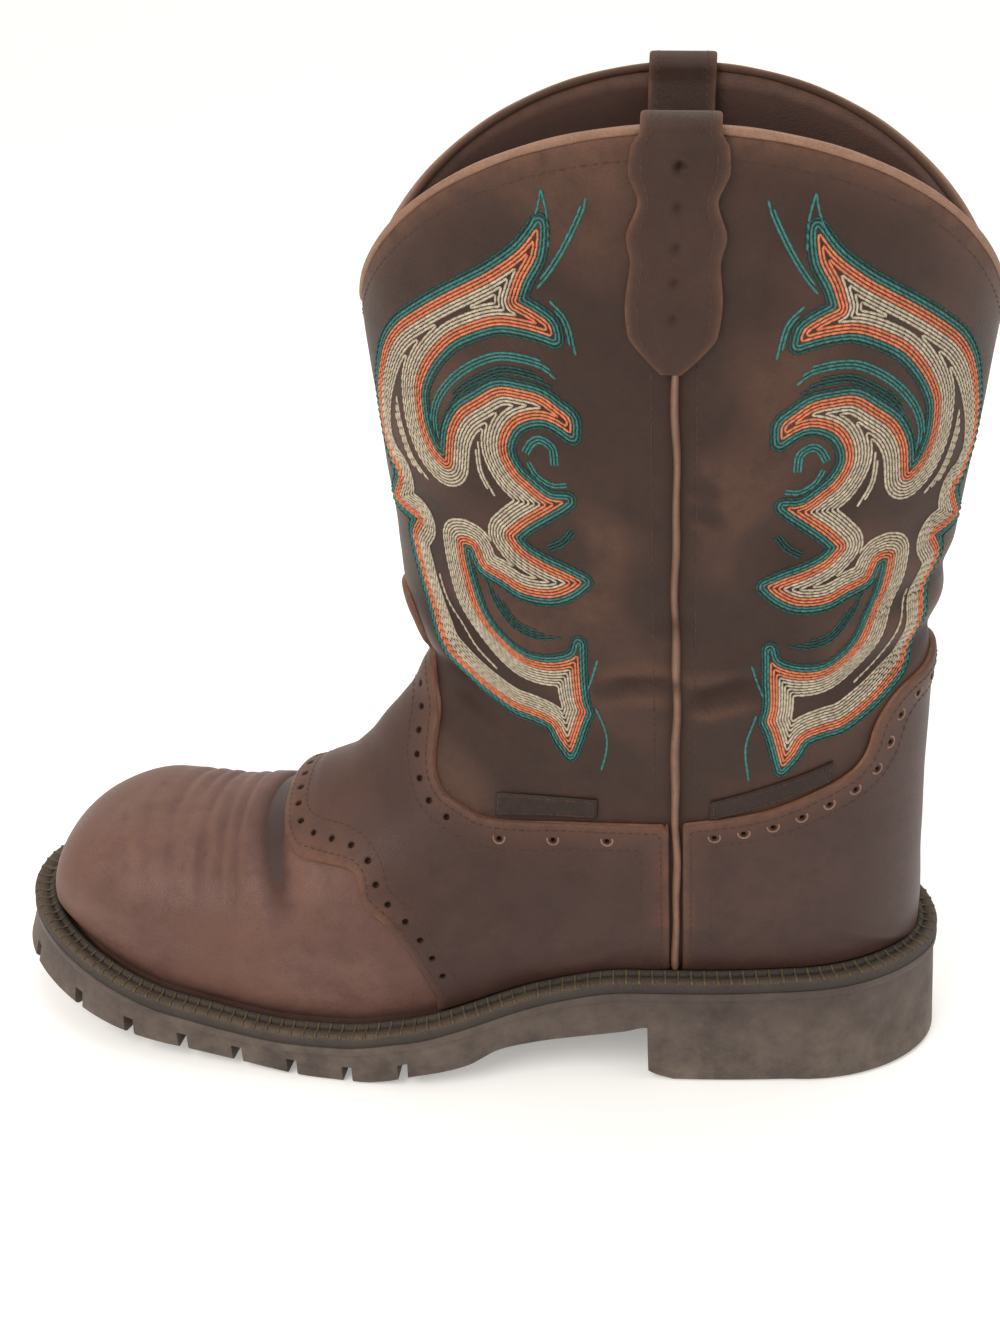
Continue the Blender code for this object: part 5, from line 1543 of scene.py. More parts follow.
def make_upper():
    """Hollow upper: creased outer face, turned down inside the welt, and its lining."""
    surface = skin()
    index = surface.numbers()
    rows, columns = index.shape
    mesh = Mesh()
    faces, kinds = [], []
    border = int(np.searchsorted(foot_steps(), VAMP_END))
    for i in range(rows - 1):
        kind = 0 if i < border else 1
        for j in range(columns - 1):
            loop = [index[i, j], index[i + 1, j], index[i + 1, j + 1], index[i, j + 1]]
            faces.append(list(dict.fromkeys(int(k) for k in loop)))
            kinds.append(kind)
    mesh.add(surface.points, faces)
    mesh.kinds = kinds
    inner = surface.flat - surface.out * LEATHER
    picks = list(range(rows - 1, 2, -LINING_STEP))[::-1]
    lining = inner[picks].reshape(-1, 3)
    low = np.arange(len(lining)).reshape(len(picks), columns)
    faces = []
    for i in range(len(picks) - 1):
        for j in range(columns - 1):
            faces.append((low[i, j], low[i, j + 1], low[i + 1, j + 1], low[i + 1, j]))
    start = mesh.count
    mesh.add(lining, faces, 2)
    top, under = index[-1], low[-1] + start
    for j in range(columns - 1):
        mesh.faces.append((int(top[j + 1]), int(top[j]), int(under[j]), int(under[j + 1])))
        mesh.kinds.append(2)
    for end in (0, -1):
        line = surface.points[: FOOT_RINGS + 1, end]
        skirt = line - [0, 0, WELT_THICKNESS - 2.5 * CLEARANCE]
        both = np.concatenate([line, skirt])
        count = len(line)
        faces = [(i, i + 1, i + 1 + count, i + count) for i in range(count - 1)]
        mesh.add(both, [f if end else f[::-1] for f in faces])
    points = np.concatenate(mesh.points)
    over_top = topline(points[:, 0]) - points[:, 2]
    rub = 0.8 * np.exp(-np.maximum(over_top, 0) / (5 * MM))
    toe = np.linalg.norm(points - TOE_RUB, axis=1)
    rub += 0.35 * np.exp(-((toe / (22 * MM)) ** 2))
    ridge = np.zeros(len(points))
    ridge[: rows * columns] = surface.depth.ravel()
    rub += np.clip(ridge / (1.1 * MM), 0, 0.35)
    # painted shade: darker in the crease troughs, beside the side seams' piping and just above the welt
    shade = np.clip(-ridge / (2.4 * MM), 0, 0.8)
    seam = np.abs(points[:, 0] - seam_x(points[:, 2]))
    shade += 0.7 * np.exp(-((seam / (2.6 * MM)) ** 2))
    shade += 0.6 * np.exp(-((above_welt(points) / (3 * MM)) ** 2))
    values = {"wear": np.clip(rub, 0, 1), "shade": np.clip(shade, 0, 1)}
    finishes = [leather("vamp"), leather("shaft", 0.8), leather("lining", 0.3)]
    mesh.make("boot_upper", finishes, "vamp_leather", ("upper",), values=values)


def punchings(name):
    """Places punched along an overlay's edge: point, way out, way along, and whether it has a rim."""
    made = []
    for path, ways in contour(name, PUNCH_INSET):
        for pitch in (SADDLE_PUNCH_PITCH, COUNTER_PUNCH_PITCH, LEVEL_PUNCH_PITCH):
            for place, way, along in zip(*resampled(path, ways, pitch)):
                level = place[0] > x_at(LEVEL_STATION)
                wanted = LEVEL_PUNCH_PITCH if level else SADDLE_PUNCH_PITCH
                if name == "counter":
                    wanted = COUNTER_PUNCH_PITCH
                if pitch == wanted and abs(place[0] - seam_x(place[2])) > SEAM_ROOM:
                    made.append((place, way, along, level or name == "counter"))
    return made


def make_overlays():
    """Saddle over the instep and counter round the heel, with their rows of stitches."""
    edge = leather("edge", 0.3, 0.7, 0.3)
    body = leather("overlay", 0.55)
    lift = CLEARANCE + OVERLAY
    seam, pink = Mesh(), Mesh()
    for name in ("saddle", "counter"):
        spots = punchings(name)
        overlay(name, [(place, 0.85 if rimmed else 1.05) for place, _, _, rimmed in spots], [body, edge])
        for inset in STITCH_INSETS:
            for path, ways in contour(name, inset):
                thread(seam, path + lift * ways, ways, OVERLAY_SEWING)
        for place, way, along, rimmed in spots:
            if not rimmed:
                continue
            down = np.cross(way, along)
            down *= -np.sign(down[2])
            turn = np.linspace(-0.12 * pi, 1.12 * pi, 15)[:, None]
            bow = place + way * (lift - 0.03 * MM) + RIM_RADIUS * (np.cos(turn) * along + np.sin(turn) * down)
            strand(pink, bow - 0.3 * MM * down, np.tile(way, (15, 1)), 0.36 * MM, 0.28 * MM)
    seam.make("overlay_stitches", [seam_yarn()], "overlay_leather")
    pink.make("overlay_pinkings", [edge], "edge_leather")


def piping_gaps(z, breadth=1.0):
    """How near a height is to each of the places where the piping is creased shut."""
    return [np.exp(-(((z - place) / (breadth * width)) ** 2)) for place, width in PIPING_CREASES]


def make_piping(side, name, edge):
    """Piping of one side seam, pinched where the shaft folds."""
    low, high = seam_foot() + 0.6 * MM, SHAFT_HEIGHT - STRAP_LENGTH + 1.5 * MM
    rings = []
    for z in np.arange(low, high, 1.1 * MM):
        lower, upper = piping_gaps(z)
        pinch = 1 - 0.55 * upper - 0.5 * lower
        x = float(seam_x(z)) + 0.28 * MM * sin(z / 0.0105) + 0.18 * MM * sin(z / 0.0043)
        half = PIPING_WIDTH / 2 * (0.93 + 0.07 * sin(z / 0.006)) * (0.8 + 0.2 * pinch)
        half *= float(np.interp(z, [0.13, 0.2], [1.0, 0.78]))
        ring = []
        for share in (-1, -0.9, -0.6, -0.2, 0.2, 0.6, 0.9, 1):
            rise = PIPING_HEIGHT * pinch * (1 - abs(share) ** 2.6) + 0.12 * MM
            ring.append(skin().at(x + share * half, z, side, rise)[0])
        rings.append(ring)
    mesh = Mesh()
    mesh.strip(rings)
    height = np.array(rings)[..., 2]
    # shade of the piping: a darker tone all over, which is the piping's own, and painted shade towards its
    # sides and where it is creased shut
    shade = np.tile([1.0, 0.9, 0.5, 0.3, 0.3, 0.5, 0.9, 1.0], (len(rings), 1))
    shade = np.clip(shade + 0.6 * sum(piping_gaps(height)), 0, 1)
    values = {"wear": np.full(height.shape, 0.15), "shade": shade}
    mesh.make(name + "_strip", [edge], "edge_leather", (name,), values=values)


def make_collar(edge):
    """Rolled binding of the topline."""
    line = skin().points[-1][:-1]
    ahead, behind = np.roll(line, -1, axis=0), np.roll(line, 1, axis=0)
    run = unit(ahead - behind)
    outward = unit(np.stack([run[:, 1], -run[:, 0], 0 * run[:, 0]], 1))
    toward = line[:, :2] - [SHAFT_CENTRE, 0.0]
    outward[(outward[:, :2] * toward).sum(1) < 0] *= -1
    up = np.cross(run, outward)
    up *= np.sign(up[:, 2:3])
    wobble = 1 + 0.05 * np.sin(np.arange(len(line)) * 0.55)
    centre = line - outward * LEATHER / 2 + up * BINDING_HEIGHT / 2
    turns = np.linspace(0, 2 * pi, 17)[:-1]
    rings = []
    for turn in turns:
        flat = np.sign(cos(turn)) * abs(cos(turn)) ** 0.75
        high = np.sign(sin(turn)) * abs(sin(turn)) ** 0.8
        lower = 1.4 if high < 0 else 1.0
        spread = BINDING_WIDTH / 2 + 0.2 * MM
        rise = (BINDING_HEIGHT / 2 * high * lower * wobble)[:, None]
        rings.append(centre + outward * spread * flat + up * rise)
    mesh = Mesh()
    mesh.strip(np.array(rings).transpose(1, 0, 2), closed=True)
    wear = np.tile(0.15 + 0.1 * np.sin(np.arange(len(line)) * 0.21)[:, None], (1, len(turns)))
    # painted shade: the binding darkens on its inner side, where it turns into the boot
    inward = np.clip(0.25 - 1.3 * np.cos(turns), 0, 1)
    values = {"wear": wear, "shade": np.tile(inward, (len(line), 1))}
    mesh.make("collar_edge", [edge], "edge_leather", ("collar_binding",), values=values)


def make_trim():
    """Piping of both side seams, the binding and the shaft's rows of stitches."""
    edge = leather("edge", 0.3, 0.7, 0.3)
    make_piping(-1, "piping_outer", edge)
    make_piping(1, "piping_inner", edge)
    make_collar(edge)
    seam = Mesh()
    for side in (-1, 1):
        for aside in SEAM_ROWS:
            heights = np.arange(*SEAM_ROW_SPAN, 1.5 * MM)
            places = [(float(seam_x(z)) + aside, z) for z in heights]
            thread(seam, *surface_line(places, side, 0.02 * MM), SHAFT_SEWING)
    thread(seam, skin().points[-6], skin().out[-6], COLLAR_SEWING)
    seam.make("shaft_stitches", [seam_yarn()], "vamp_leather")


def strap_base(side, middle, shares):
    """Inner face of a pull strap: rows of places and ways out, up outside and down inside."""
    top = float(topline(middle))
    rows = []
    for down in np.arange(STRAP_LENGTH, BINDING_HEIGHT, -0.8 * MM):
        half = float(from_table(STRAP_SCALLOPS, "half_width", down / STRAP_LENGTH)) * STRAP_WIDTH
        places = [(middle + share * half, SHAFT_HEIGHT - down) for share in shares]
        rows.append((*surface_line(places, side, CLEARANCE), down))
    edge = skin().at(middle, top, side)[0]
    wall = edge[1] - side * LEATHER / 2
    half = BINDING_WIDTH / 2 + STRAP_PLAY
    crest = SHAFT_HEIGHT + STRAP_LOOP_RISE - STRAP_THICKNESS
    spring = SHAFT_HEIGHT + CLEARANCE
    across = middle + 0.5 * STRAP_WIDTH * shares
    for turn in np.linspace(0, pi, 17):
        y = wall + side * half * cos(turn)
        z = spring + (crest - spring) * sin(turn)
        way = unit([0, side * cos(turn) / half, sin(turn) / (crest - spring)])
        place = np.stack([across, np.full(len(shares), y), np.full(len(shares), z)], 1)
        rows.append((place, np.tile(way, (len(shares), 1)), 0.0))
    for share in np.linspace(0.06, 1, 22):
        z = spring - share * STRAP_TAIL
        face = skin().at(middle, min(z, top), side)[0]
        slack = STRAP_SLACK * sin(pi * share) + 0.8 * STRAP_PLAY
        y = face[1] - side * (LEATHER + slack)
        place = np.stack([across, np.full(len(shares), y), np.full(len(shares), z)], 1)
        rows.append((place, np.tile([0.0, -side, 0.0], (len(shares), 1)), 0.0))
    return rows


def make_straps():
    """Pull straps: scalloped and punched outside, looped over the topline."""
    half = np.array([0, 0.08, 0.17, 0.3, 0.5, 0.7, 0.86, 0.94, 0.985, 1])
    shares = np.concatenate([-half[:0:-1], half])
    swell = np.interp(np.abs(shares), [0, 0.86, 0.94, 0.985, 1], [1.0, 1.0, 0.95, 0.82, 0.62])
    middle = float(seam_x(SHAFT_HEIGHT - STRAP_LENGTH / 2))
    body = leather("shaft", 0.8)
    edge = leather("edge", 0.3, 0.7, 0.3)
    seam = Mesh()
    for side, name in ((-1, "pull_strap_outer"), (1, "pull_strap_inner")):
        rings, wears, shades, line = [], [], [], {-0.8: [], 0.8: []}
        for place, way, down in strap_base(side, middle, shares):
            wide = np.linalg.norm(place[-1] - place[0]) / 2
            lift = STRAP_THICKNESS * swell
            shade = np.zeros(len(shares))
            for hole in STRAP_HOLES if down > 0 else ():
                miss = np.hypot(shares * wide, 0.8 * (down - hole.down))
                lift = lift - hole.depth * np.exp(-((miss / (1.15 * MM)) ** 3))
                lift = lift + hole.rim * np.exp(-(((miss - 2.0 * MM) / (0.6 * MM)) ** 2))
                # painted shade inside the punched holes
                shade = shade + np.exp(-((miss / (1.3 * MM)) ** 2))
            top = place + way * lift[:, None]
            rings.append(np.concatenate([place, top[::-1]]))
            worn = 0.05 + np.exp(-((1 - np.abs(shares)) * wide) / (0.8 * MM))
            wears.append(np.concatenate([worn, worn[::-1]]))
            shades.append(np.concatenate([shade, shade[::-1]]))
            for share in line:
                reach = share * (1 - 0.9 * MM / max(wide, 2 * MM))
                if down < 0.93 * STRAP_LENGTH:
                    line[share].append((*rows_at([reach], shares, top)[0], *way[len(shares) // 2]))
        mesh = Mesh()
        mesh.strip(rings)
        count = len(shares)
        for i in range(count - 1, (len(rings) - 1) * 2 * count, count):
            mesh.kinds[i] = 1
        values = {"wear": np.clip(np.array(wears), 0, 1), "shade": np.clip(np.array(shades), 0, 1)}
        mesh.make(name + "_leather", [body, edge], "overlay_leather", (name,), 0.9, values)
        for rows in line.values():
            rows = np.array(rows)
            thread(seam, rows[:, :3], rows[:, 3:], STRAP_SEWING)
    seam.make("strap_stitches", [seam_yarn()], "overlay_leather")


def make_welt():
    """Storm welt: a raised lip beside the upper, a groove, and upright stitches."""
    count = WELT_COLUMNS
    reach = margin(station_at(feather_x(np.linspace(0, 1, count + 1)))) - CLEARANCE
    rings = [feather_loop(np.maximum(row.out * reach, WELT_GAP), row.up * MM, count) for row in WELT_PROFILE]
    mesh = Mesh()
    mesh.strip(np.array(rings).transpose(1, 0, 2), closed=True)
    # painted shade of the welt, row by row from its profile
    values = {"shade": np.tile(column(WELT_PROFILE, "shade"), (2 * count, 1))}
    mesh.make("welt_strip", [welting()], "welt_leather", ("welt",), 1.1, values)
    ribs = Mesh()
    inner, middle, outer = (feather_loop(share * reach, 0.0, count) for share in (0.3, 0.6, 1.0))
    pitch = bpy.context.scene.boot_sole.stitch_pitch
    spots = walk(np.concatenate([middle, middle[:1]]), pitch)[0]
    tree = kdtree.KDTree(len(middle))
    for i, point in enumerate(middle):
        tree.insert(point, i)
    tree.balance()
    for spot in spots:
        index = tree.find(spot)[1]
        start = inner[index] + spot - middle[index]
        across = outer[index] - inner[index]
        up = np.array([0, 0, 1.0])
        path = np.array([start + across * share + up * rise * MM for share, rise in WELT_STITCH])
        ways = np.tile(unit(up + 0.3 * unit(across)), (len(path), 1))
        strand(ribs, path, ways, 0.55 * MM, 0.42 * MM)
    ribs.make("welt_stitches", [yarn("welt", tuple(bpy.context.scene.boot_sole.welt_thread))], "welt_leather")


def make_footbed():
    """Cushioned footbed, dished a little along its middle."""
    rings = []
    shares = np.linspace(-1, 1, 25)
    crown = np.interp(np.abs(shares), [0, 0.6, 0.9, 0.98, 1], [0.8, 0.9, 1.0, 0.85, 0.5])
    for place in feather_x(np.linspace(0, 1, 121))[1:-1]:
        y = []
        for side in (-1, 1):
            edge, way = feather_y(np.array([place]), side)
            y.append(float(edge[0]) - side * (LEATHER + INSOLE_GAP) * abs(float(way[0, 1])))
        if (y[1] - y[0]) < 2 * MM:
            continue
        across = y[0] + (shares + 1) / 2 * (y[1] - y[0])
        base = float(rim_height(place)) + INSOLE_GAP
        top = np.stack([np.full(25, place), across, base + INSOLE_THICKNESS * crown], 1)
        low = np.stack([np.full(25, place), across, np.full(25, base)], 1)
        rings.append(np.concatenate([low, top[::-1]]))
    mesh = Mesh()
    mesh.strip(rings)
    made = mesh.make("footbed", [yarn("footbed", paint(74, 58, 50))], "insole_fabric", ("insole",), 0.9)


def make_tabs():
    """Bare woven tabs, each with a sewn border."""
    over = TAB_RISE + TAB_HEIGHT / 2
    low, high = edge_points(SADDLE_TOP)[-3:-1]
    x = float(seam_x(high[1])) - TAB_SETBACK - FRONT_TAB_LENGTH / 2
    z = low[1] + (high[1] - low[1]) * (x - low[0]) / (high[0] - low[0]) + over
    rise = edge_points(COUNTER_TOP)[:4]
    slope = (rise[3][1] - rise[1][1]) / (rise[3][0] - rise[1][0])
    back = (rise[2][0] - TAB_RISE, rise[2][1] + over)
    woven = yarn("tab", paint(50, 36, 30))
    border = Mesh()
    for name, length, middle, tilt in (
        ("side_tab_front", FRONT_TAB_LENGTH, (x, z), (high[1] - low[1]) / (high[0] - low[0])),
        ("side_tab_back", BACK_TAB_LENGTH, back, slope),
    ):
        rings = []
        for share in np.linspace(-0.5, 0.5, 33):
            end = np.interp(abs(share), [0, 0.485, 0.5], [1, 1, 0.55])
            x = middle[0] + share * length
            z = middle[1] + share * length * tilt
            spread = np.linspace(-0.5, 0.5, 11)
            puff = np.interp(np.abs(spread), [0, 0.4, 0.46, 0.5], [1, 1, 0.9, 0.5])
            weave = 1 + 0.10 * np.sin(share * length / (0.5 * MM))
            lower = [skin().at(x, z + s * TAB_HEIGHT, -1, 0.1 * MM)[0] for s in spread]
            upper = [
                skin().at(x, z + s * TAB_HEIGHT, -1, CLEARANCE + TAB_THICKNESS * p * end * weave)[0]
                for s, p in zip(spread, puff)
            ]
            rings.append(lower + upper[::-1])
        mesh = Mesh()
        mesh.strip(rings)
        mesh.make(name + "_weave", [woven], "welt_leather", (name,), 0.9)
        corners = [(-0.47, -0.38), (0.47, -0.38), (0.47, 0.38), (-0.47, 0.38), (-0.47, -0.38)]
        line = [(middle[0] + a * length, middle[1] + a * length * tilt + b * TAB_HEIGHT) for a, b in corners]
        places = walk(line, 0.9 * MM)[0]
        thread(border, *surface_line(places, -1, CLEARANCE + TAB_THICKNESS), TAB_SEWING)
    border.make("tab_stitches", [seam_yarn()], "welt_leather")


def smooth_scroll():
    """Outline of the scroll in metres, curved between its points."""
    places = np.array([(row[0] * SCROLL_SPAN, row[1] * MM) for row in SCROLL])
    sharp = [i for i, row in enumerate(SCROLL) if len(row) > 2]
    line = []
    for first, last in zip(sharp, sharp[1:] + [sharp[0] + len(places)]):
        arc = places[np.arange(first, last + 1) % len(places)]
        line.append(curve(arc)[:-1])
    return np.concatenate(line)


def curve(points, fineness=1.2 * MM):
    """Smooth line through points."""
    points = np.asarray(points, float)
    if len(points) < 3:
        return walk_ends(points, fineness)
    padded = np.concatenate([[2 * points[0] - points[1]], points, [2 * points[-1] - points[-2]]])
    line = []
    for a, b, c, d in zip(padded, padded[1:], padded[2:], padded[3:]):
        count = max(int(np.linalg.norm(c - b) / fineness), 2)
        for t in np.linspace(0, 1, count, endpoint=False):
            bend, twist = 2 * a - 5 * b + 4 * c - d, 3 * b - a - 3 * c + d
            line.append(0.5 * (2 * b + (c - a) * t + bend * t**2 + twist * t**3))
    return np.array(line + [points[-1]])


def walk_ends(points, pitch):
    """Straight line between two ends."""
    count = max(int(np.linalg.norm(points[-1] - points[0]) / pitch), 1)
    return np.linspace(points[0], points[-1], count + 1)


def level_lines(field, across, up, level):
    """Lines along one level of a field on an even grid."""
    above = field > level
    total = above[:-1, :-1].astype(int) + above[1:, :-1] + above[:-1, 1:] + above[1:, 1:]
    links = defaultdict(list)
    for i, j in np.argwhere((total > 0) & (total < 4)).tolist():
        corners = [(i, j), (i + 1, j), (i + 1, j + 1), (i, j + 1)]
        cut = []
        for a, b in zip(corners, corners[1:] + corners[:1]):
            if above[a] != above[b]:
                cut.append((min(a, b), max(a, b)))
        for pair in ((0, 1), (2, 3))[: len(cut) // 2]:
            first, second = cut[pair[0]], cut[pair[1]]
            links[first].append(second)
            links[second].append(first)
    lines = []
    for chain in chains(links):
        places = []
        for a, b in chain:
            share = (level - field[a]) / (field[b] - field[a])
            x, z = (line[i] + share * (line[j] - line[i]) for line, i, j in zip((across, up), a, b))
            places.append((x, z))
        lines.append(np.array(places))
    return lines


class Quarter:
    """Places on one quarter of the shaft: share from the side seam to the middle, height."""

    heights = np.linspace(0.105, 0.306, 100)
    shares = np.linspace(0, 1, 90)

    def __init__(self, side, way):
        count, half = 400, 120
        frame = section_frame(np.linspace(0.02, LEG[-1].step, count))
        rings = np.array([upper_ring(frame, i, 2 * half) for i in range(count)])
        rings = rings[:, half::-1] if side < 0 else rings[:, half:]
        x = np.zeros((len(self.heights), half + 1))
        y = x.copy()
        for u in range(half + 1):
            z = np.maximum.accumulate(rings[:, u, 2])
            x[:, u] = np.interp(self.heights, z, rings[:, u, 0])
            y[:, u] = np.interp(self.heights, z, rings[:, u, 1])
        self.grid = np.zeros((len(self.heights), len(self.shares), 3))
        for i, z in enumerate(self.heights):
            far = np.concatenate([[0], np.cumsum(np.hypot(np.diff(x[i]), np.diff(y[i])))])
            far /= far[-1]
            seam = np.interp(seam_x(z), x[i], far)
            at = seam * (1 - self.shares) if way < 0 else seam + (1 - seam) * self.shares
            self.grid[i, :, 0] = np.interp(at, far, x[i])
            self.grid[i, :, 1] = np.interp(at, far, y[i])
            self.grid[i, :, 2] = z
        along = np.gradient(self.grid, axis=1)
        upward = np.gradient(self.grid, axis=0)
        self.out = unit(np.cross(along, upward)) * -side * way

    def look_up(self, table, share, height):
        """A table of the quarter, read between its places."""
        i, j = (
            np.clip(np.interp(at, known, np.arange(len(known))), 0, len(known) - 1.001)
            for at, known in ((height, self.heights), (share, self.shares))
        )
        low_i, low_j = i.astype(int), j.astype(int)
        ti, tj = (i - low_i)[:, None], (j - low_j)[:, None]
        return (
            table[low_i, low_j] * (1 - ti) * (1 - tj)
            + table[low_i + 1, low_j] * ti * (1 - tj)
            + table[low_i, low_j + 1] * (1 - ti) * tj
            + table[low_i + 1, low_j + 1] * ti * tj
        )

    def lay(self, line, lift):
        """A line of the embroidery's flat drawing laid on the leather."""
        share, height = line[:, 0] / SCROLL_SPAN, line[:, 1]
        place = self.look_up(self.grid, share, height)
        out = unit(self.look_up(self.out, share, height))
        return place + out * (relief(place) + lift)[:, None], out


def scroll_rows():
    """Rows of the embroidery in its flat drawing, by colour."""
    spacing = bpy.context.scene.boot_stitching.spacing
    outline = smooth_scroll()
    across = np.arange(0.17, 1.0, 0.0052) * SCROLL_SPAN
    up = np.arange(112, 299, 0.58) * MM
    grid = np.stack(np.meshgrid(across, up, indexing="ij"), -1).reshape(-1, 2)
    field = outline_distance(grid, outline).reshape(len(across), len(up))
    rows = {"teal": [], "orange": [], "cream": [], "dim": []}
    plan = [("dim", -2.6), ("teal", -1.55), ("teal", -0.55)]
    plan += [("orange", 0.45 + k) for k in range(3)]
    plan += [("cream", 3.45 + k) for k in range(6)]
    for colour, steps in plan:
        for line in level_lines(field, across, up, steps * spacing):
            if length_along(line)[-1] > SHORTEST_ROW:
                smooth = line.copy()
                smooth[1:-1] = (line[:-2] + 2 * line[1:-1] + line[2:]) / 4
                rows[colour].append(smooth)
    for colour, lines in (("teal", TEAL_LINES), ("cream", CREAM_LINES), ("dim", DIM_LINES)):
        for number, line in lines:
            first = curve([(q * SCROLL_SPAN, z * MM) for q, z in line])
            along = unit(np.gradient(first, axis=0))
            aside = np.stack([-along[:, 1], along[:, 0]], 1)
            for k in range(number):
                ends = slice(k * 2, len(first) - k * 2) if len(first) > 6 * number else slice(None)
                rows[colour].append((first + aside * k * spacing)[ends])
    return rows


def make_embroidery():
    """Scroll embroidery on the four quarters of the shaft."""
    settings = bpy.context.scene.boot_stitching
    rows = scroll_rows()
    quarters = [Quarter(side, way) for side in (-1, 1) for way in (-1, 1)]
    shades = {"teal": settings.teal, "orange": settings.orange, "cream": settings.cream}
    shades["dim"] = [0.38 * c for c in settings.teal]
    sewing = Sewing(settings.width, 0.42 * MM, settings.stitch, 0.25)
    for colour, lines in rows.items():
        mesh = Mesh()
        for quarter in quarters:
            for line in lines:
                thread(mesh, *quarter.lay(line, 0.10 * MM), sewing)
        mesh.make("embroidery_" + colour, [yarn(colour, tuple(shades[colour]))], "vamp_leather")


def lug_places():
    """Stations of the gaps between the lugs of the tread."""
    pitch = LUG_PITCH / SOLE_LENGTH
    return TREAD_START + pitch * np.arange(int((TREAD_END - TREAD_START) / pitch) + 1)


def make_outsole():
    """Moulded sole and heel: lip, tapered wall, notches between the lugs and grooves below."""
    fine, lugs = fine_stations(), lug_places()
    grooves = np.concatenate([HEEL_GROOVES, lugs[:-2] + 0.5 * LUG_PITCH / SOLE_LENGTH])
    stations = [fine_stations(300), column(WAIST, "station")]
    arcs = {side: length_along(outline(side, fine)[0]) for side in (-1, 1)}
    for gap in (LUG_GAP / 2 - 0.1 * MM, LUG_GAP / 2 + 0.1 * MM):
        for way in (-1, 1):
            stations.append(grooves + way * gap / SOLE_LENGTH)
            for arc in arcs.values():
                stations.append(np.interp(np.interp(lugs, fine, arc) + way * gap, arc, fine))
    stations = np.unique(np.round(np.clip(np.concatenate(stations), 0, 1), 5))
    count = len(stations)
    x = x_at(stations)
    toe = np.clip(1 - (1 - stations) * SOLE_LENGTH / TOE_ROUND, 0, 1)
    heel = np.clip(1 - stations * SOLE_LENGTH / HEEL_ROUND, 0, 1)
    taper = WALL_TAPER * (1 - toe - heel) - TOE_FLARE * toe - HEEL_FLARE * heel
    high, low = rim_height(x), tread_height(x)
    wall_high, wall_low = high - LIP_HEIGHT - 0.5 * MM, low + EDGE_BEVEL
    ledge = np.minimum(low + LUG_NOTCH_HEIGHT, wall_high - 0.6 * MM)

    def wall(z):
        """How far the wall stands in at a height."""
        return LIP_STEP + (taper - LIP_STEP) * (wall_high - z) / (wall_high - wall_low)

    none = np.zeros(count)
    levels = [
        (none + 0.5 * MM, high, 0), (none + 0.12 * MM, high - 0.15 * MM, 0), (none, high - 0.6 * MM, 0),
        (none, high - LIP_HEIGHT + 0.4 * MM, 0), (none + 0.3 * LIP_STEP, high - LIP_HEIGHT, 0),
        (none + LIP_STEP, wall_high, 0), (wall((wall_high + ledge) / 2), (wall_high + ledge) / 2, 0),
        (wall(ledge + 0.2 * MM), ledge + 0.2 * MM, 0), (wall(ledge), ledge, 1),
        (taper, wall_low, 1), (taper + 0.4 * EDGE_BEVEL, low + 0.35 * EDGE_BEVEL, 1),
        (taper + EDGE_BEVEL, low, 1),
    ]
    grid = []
    for inset, z, notched in levels:
        for side in (-1, 1):
            points, ways = outline(side, stations)
            arc = np.interp(stations, fine, arcs[side])
            near = np.abs(arc[:, None] - np.interp(lugs, fine, arcs[side])).min(1) < LUG_GAP / 2
            flat = points - ways * (inset + notched * near * LUG_NOTCH_DEPTH)[:, None]
            grid.append(np.column_stack([flat, z]))
    left, right = grid[-2], grid[-1]
    wide = right[:, 1] - left[:, 1]
    reach = np.minimum(GROOVE_LENGTH / 2, 0.35 * wide)
    cut = (np.abs(stations[:, None] - grooves).min(1) * SOLE_LENGTH < LUG_GAP / 2) * TREAD_DEPTH
    for share, raised in ((-1.0, 0), (-0.99, 1), (0.99, 1), (1.0, 0)):
        y = (left[:, 1] + right[:, 1]) / 2 + share * reach
        along = np.clip((y - left[:, 1]) / np.maximum(wide, 1e-6), 0, 1)[:, None]
        row = left + along * (right - left)
        row[:, 2] += raised * cut
        grid.append(row)
    index = np.arange(len(grid) * count).reshape(len(grid), count)
    index[1 : 2 * len(levels) : 2, [0, -1]] = index[0 : 2 * len(levels) : 2, [0, -1]]
    index[2 * len(levels) :, [0, -1]] = index[2 * len(levels) - 2, [0, -1]]
    last = 2 * len(levels)
    pairs = [(k, k + 2, k % 2 == 0) for k in range(last - 2)] + [(1, 0, True)]
    under = [last - 2, last, last + 1, last + 2, last + 3, last - 1]
    pairs += [(first, second, True) for first, second in zip(under, under[1:])]
    mesh = Mesh()
    faces = []
    for first, second, turned in pairs:
        for i in range(count - 1):
            loop = [index[first, i], index[first, i + 1], index[second, i + 1], index[second, i]]
            loop = list(dict.fromkeys(int(k) for k in loop))
            if len(loop) > 2:
                faces.append(loop if turned else loop[::-1])
    mesh.add(np.array(grid), faces)
    mesh.make("sole_unit", [rubber()], "sole_rubber", ("outsole",), 0.7)


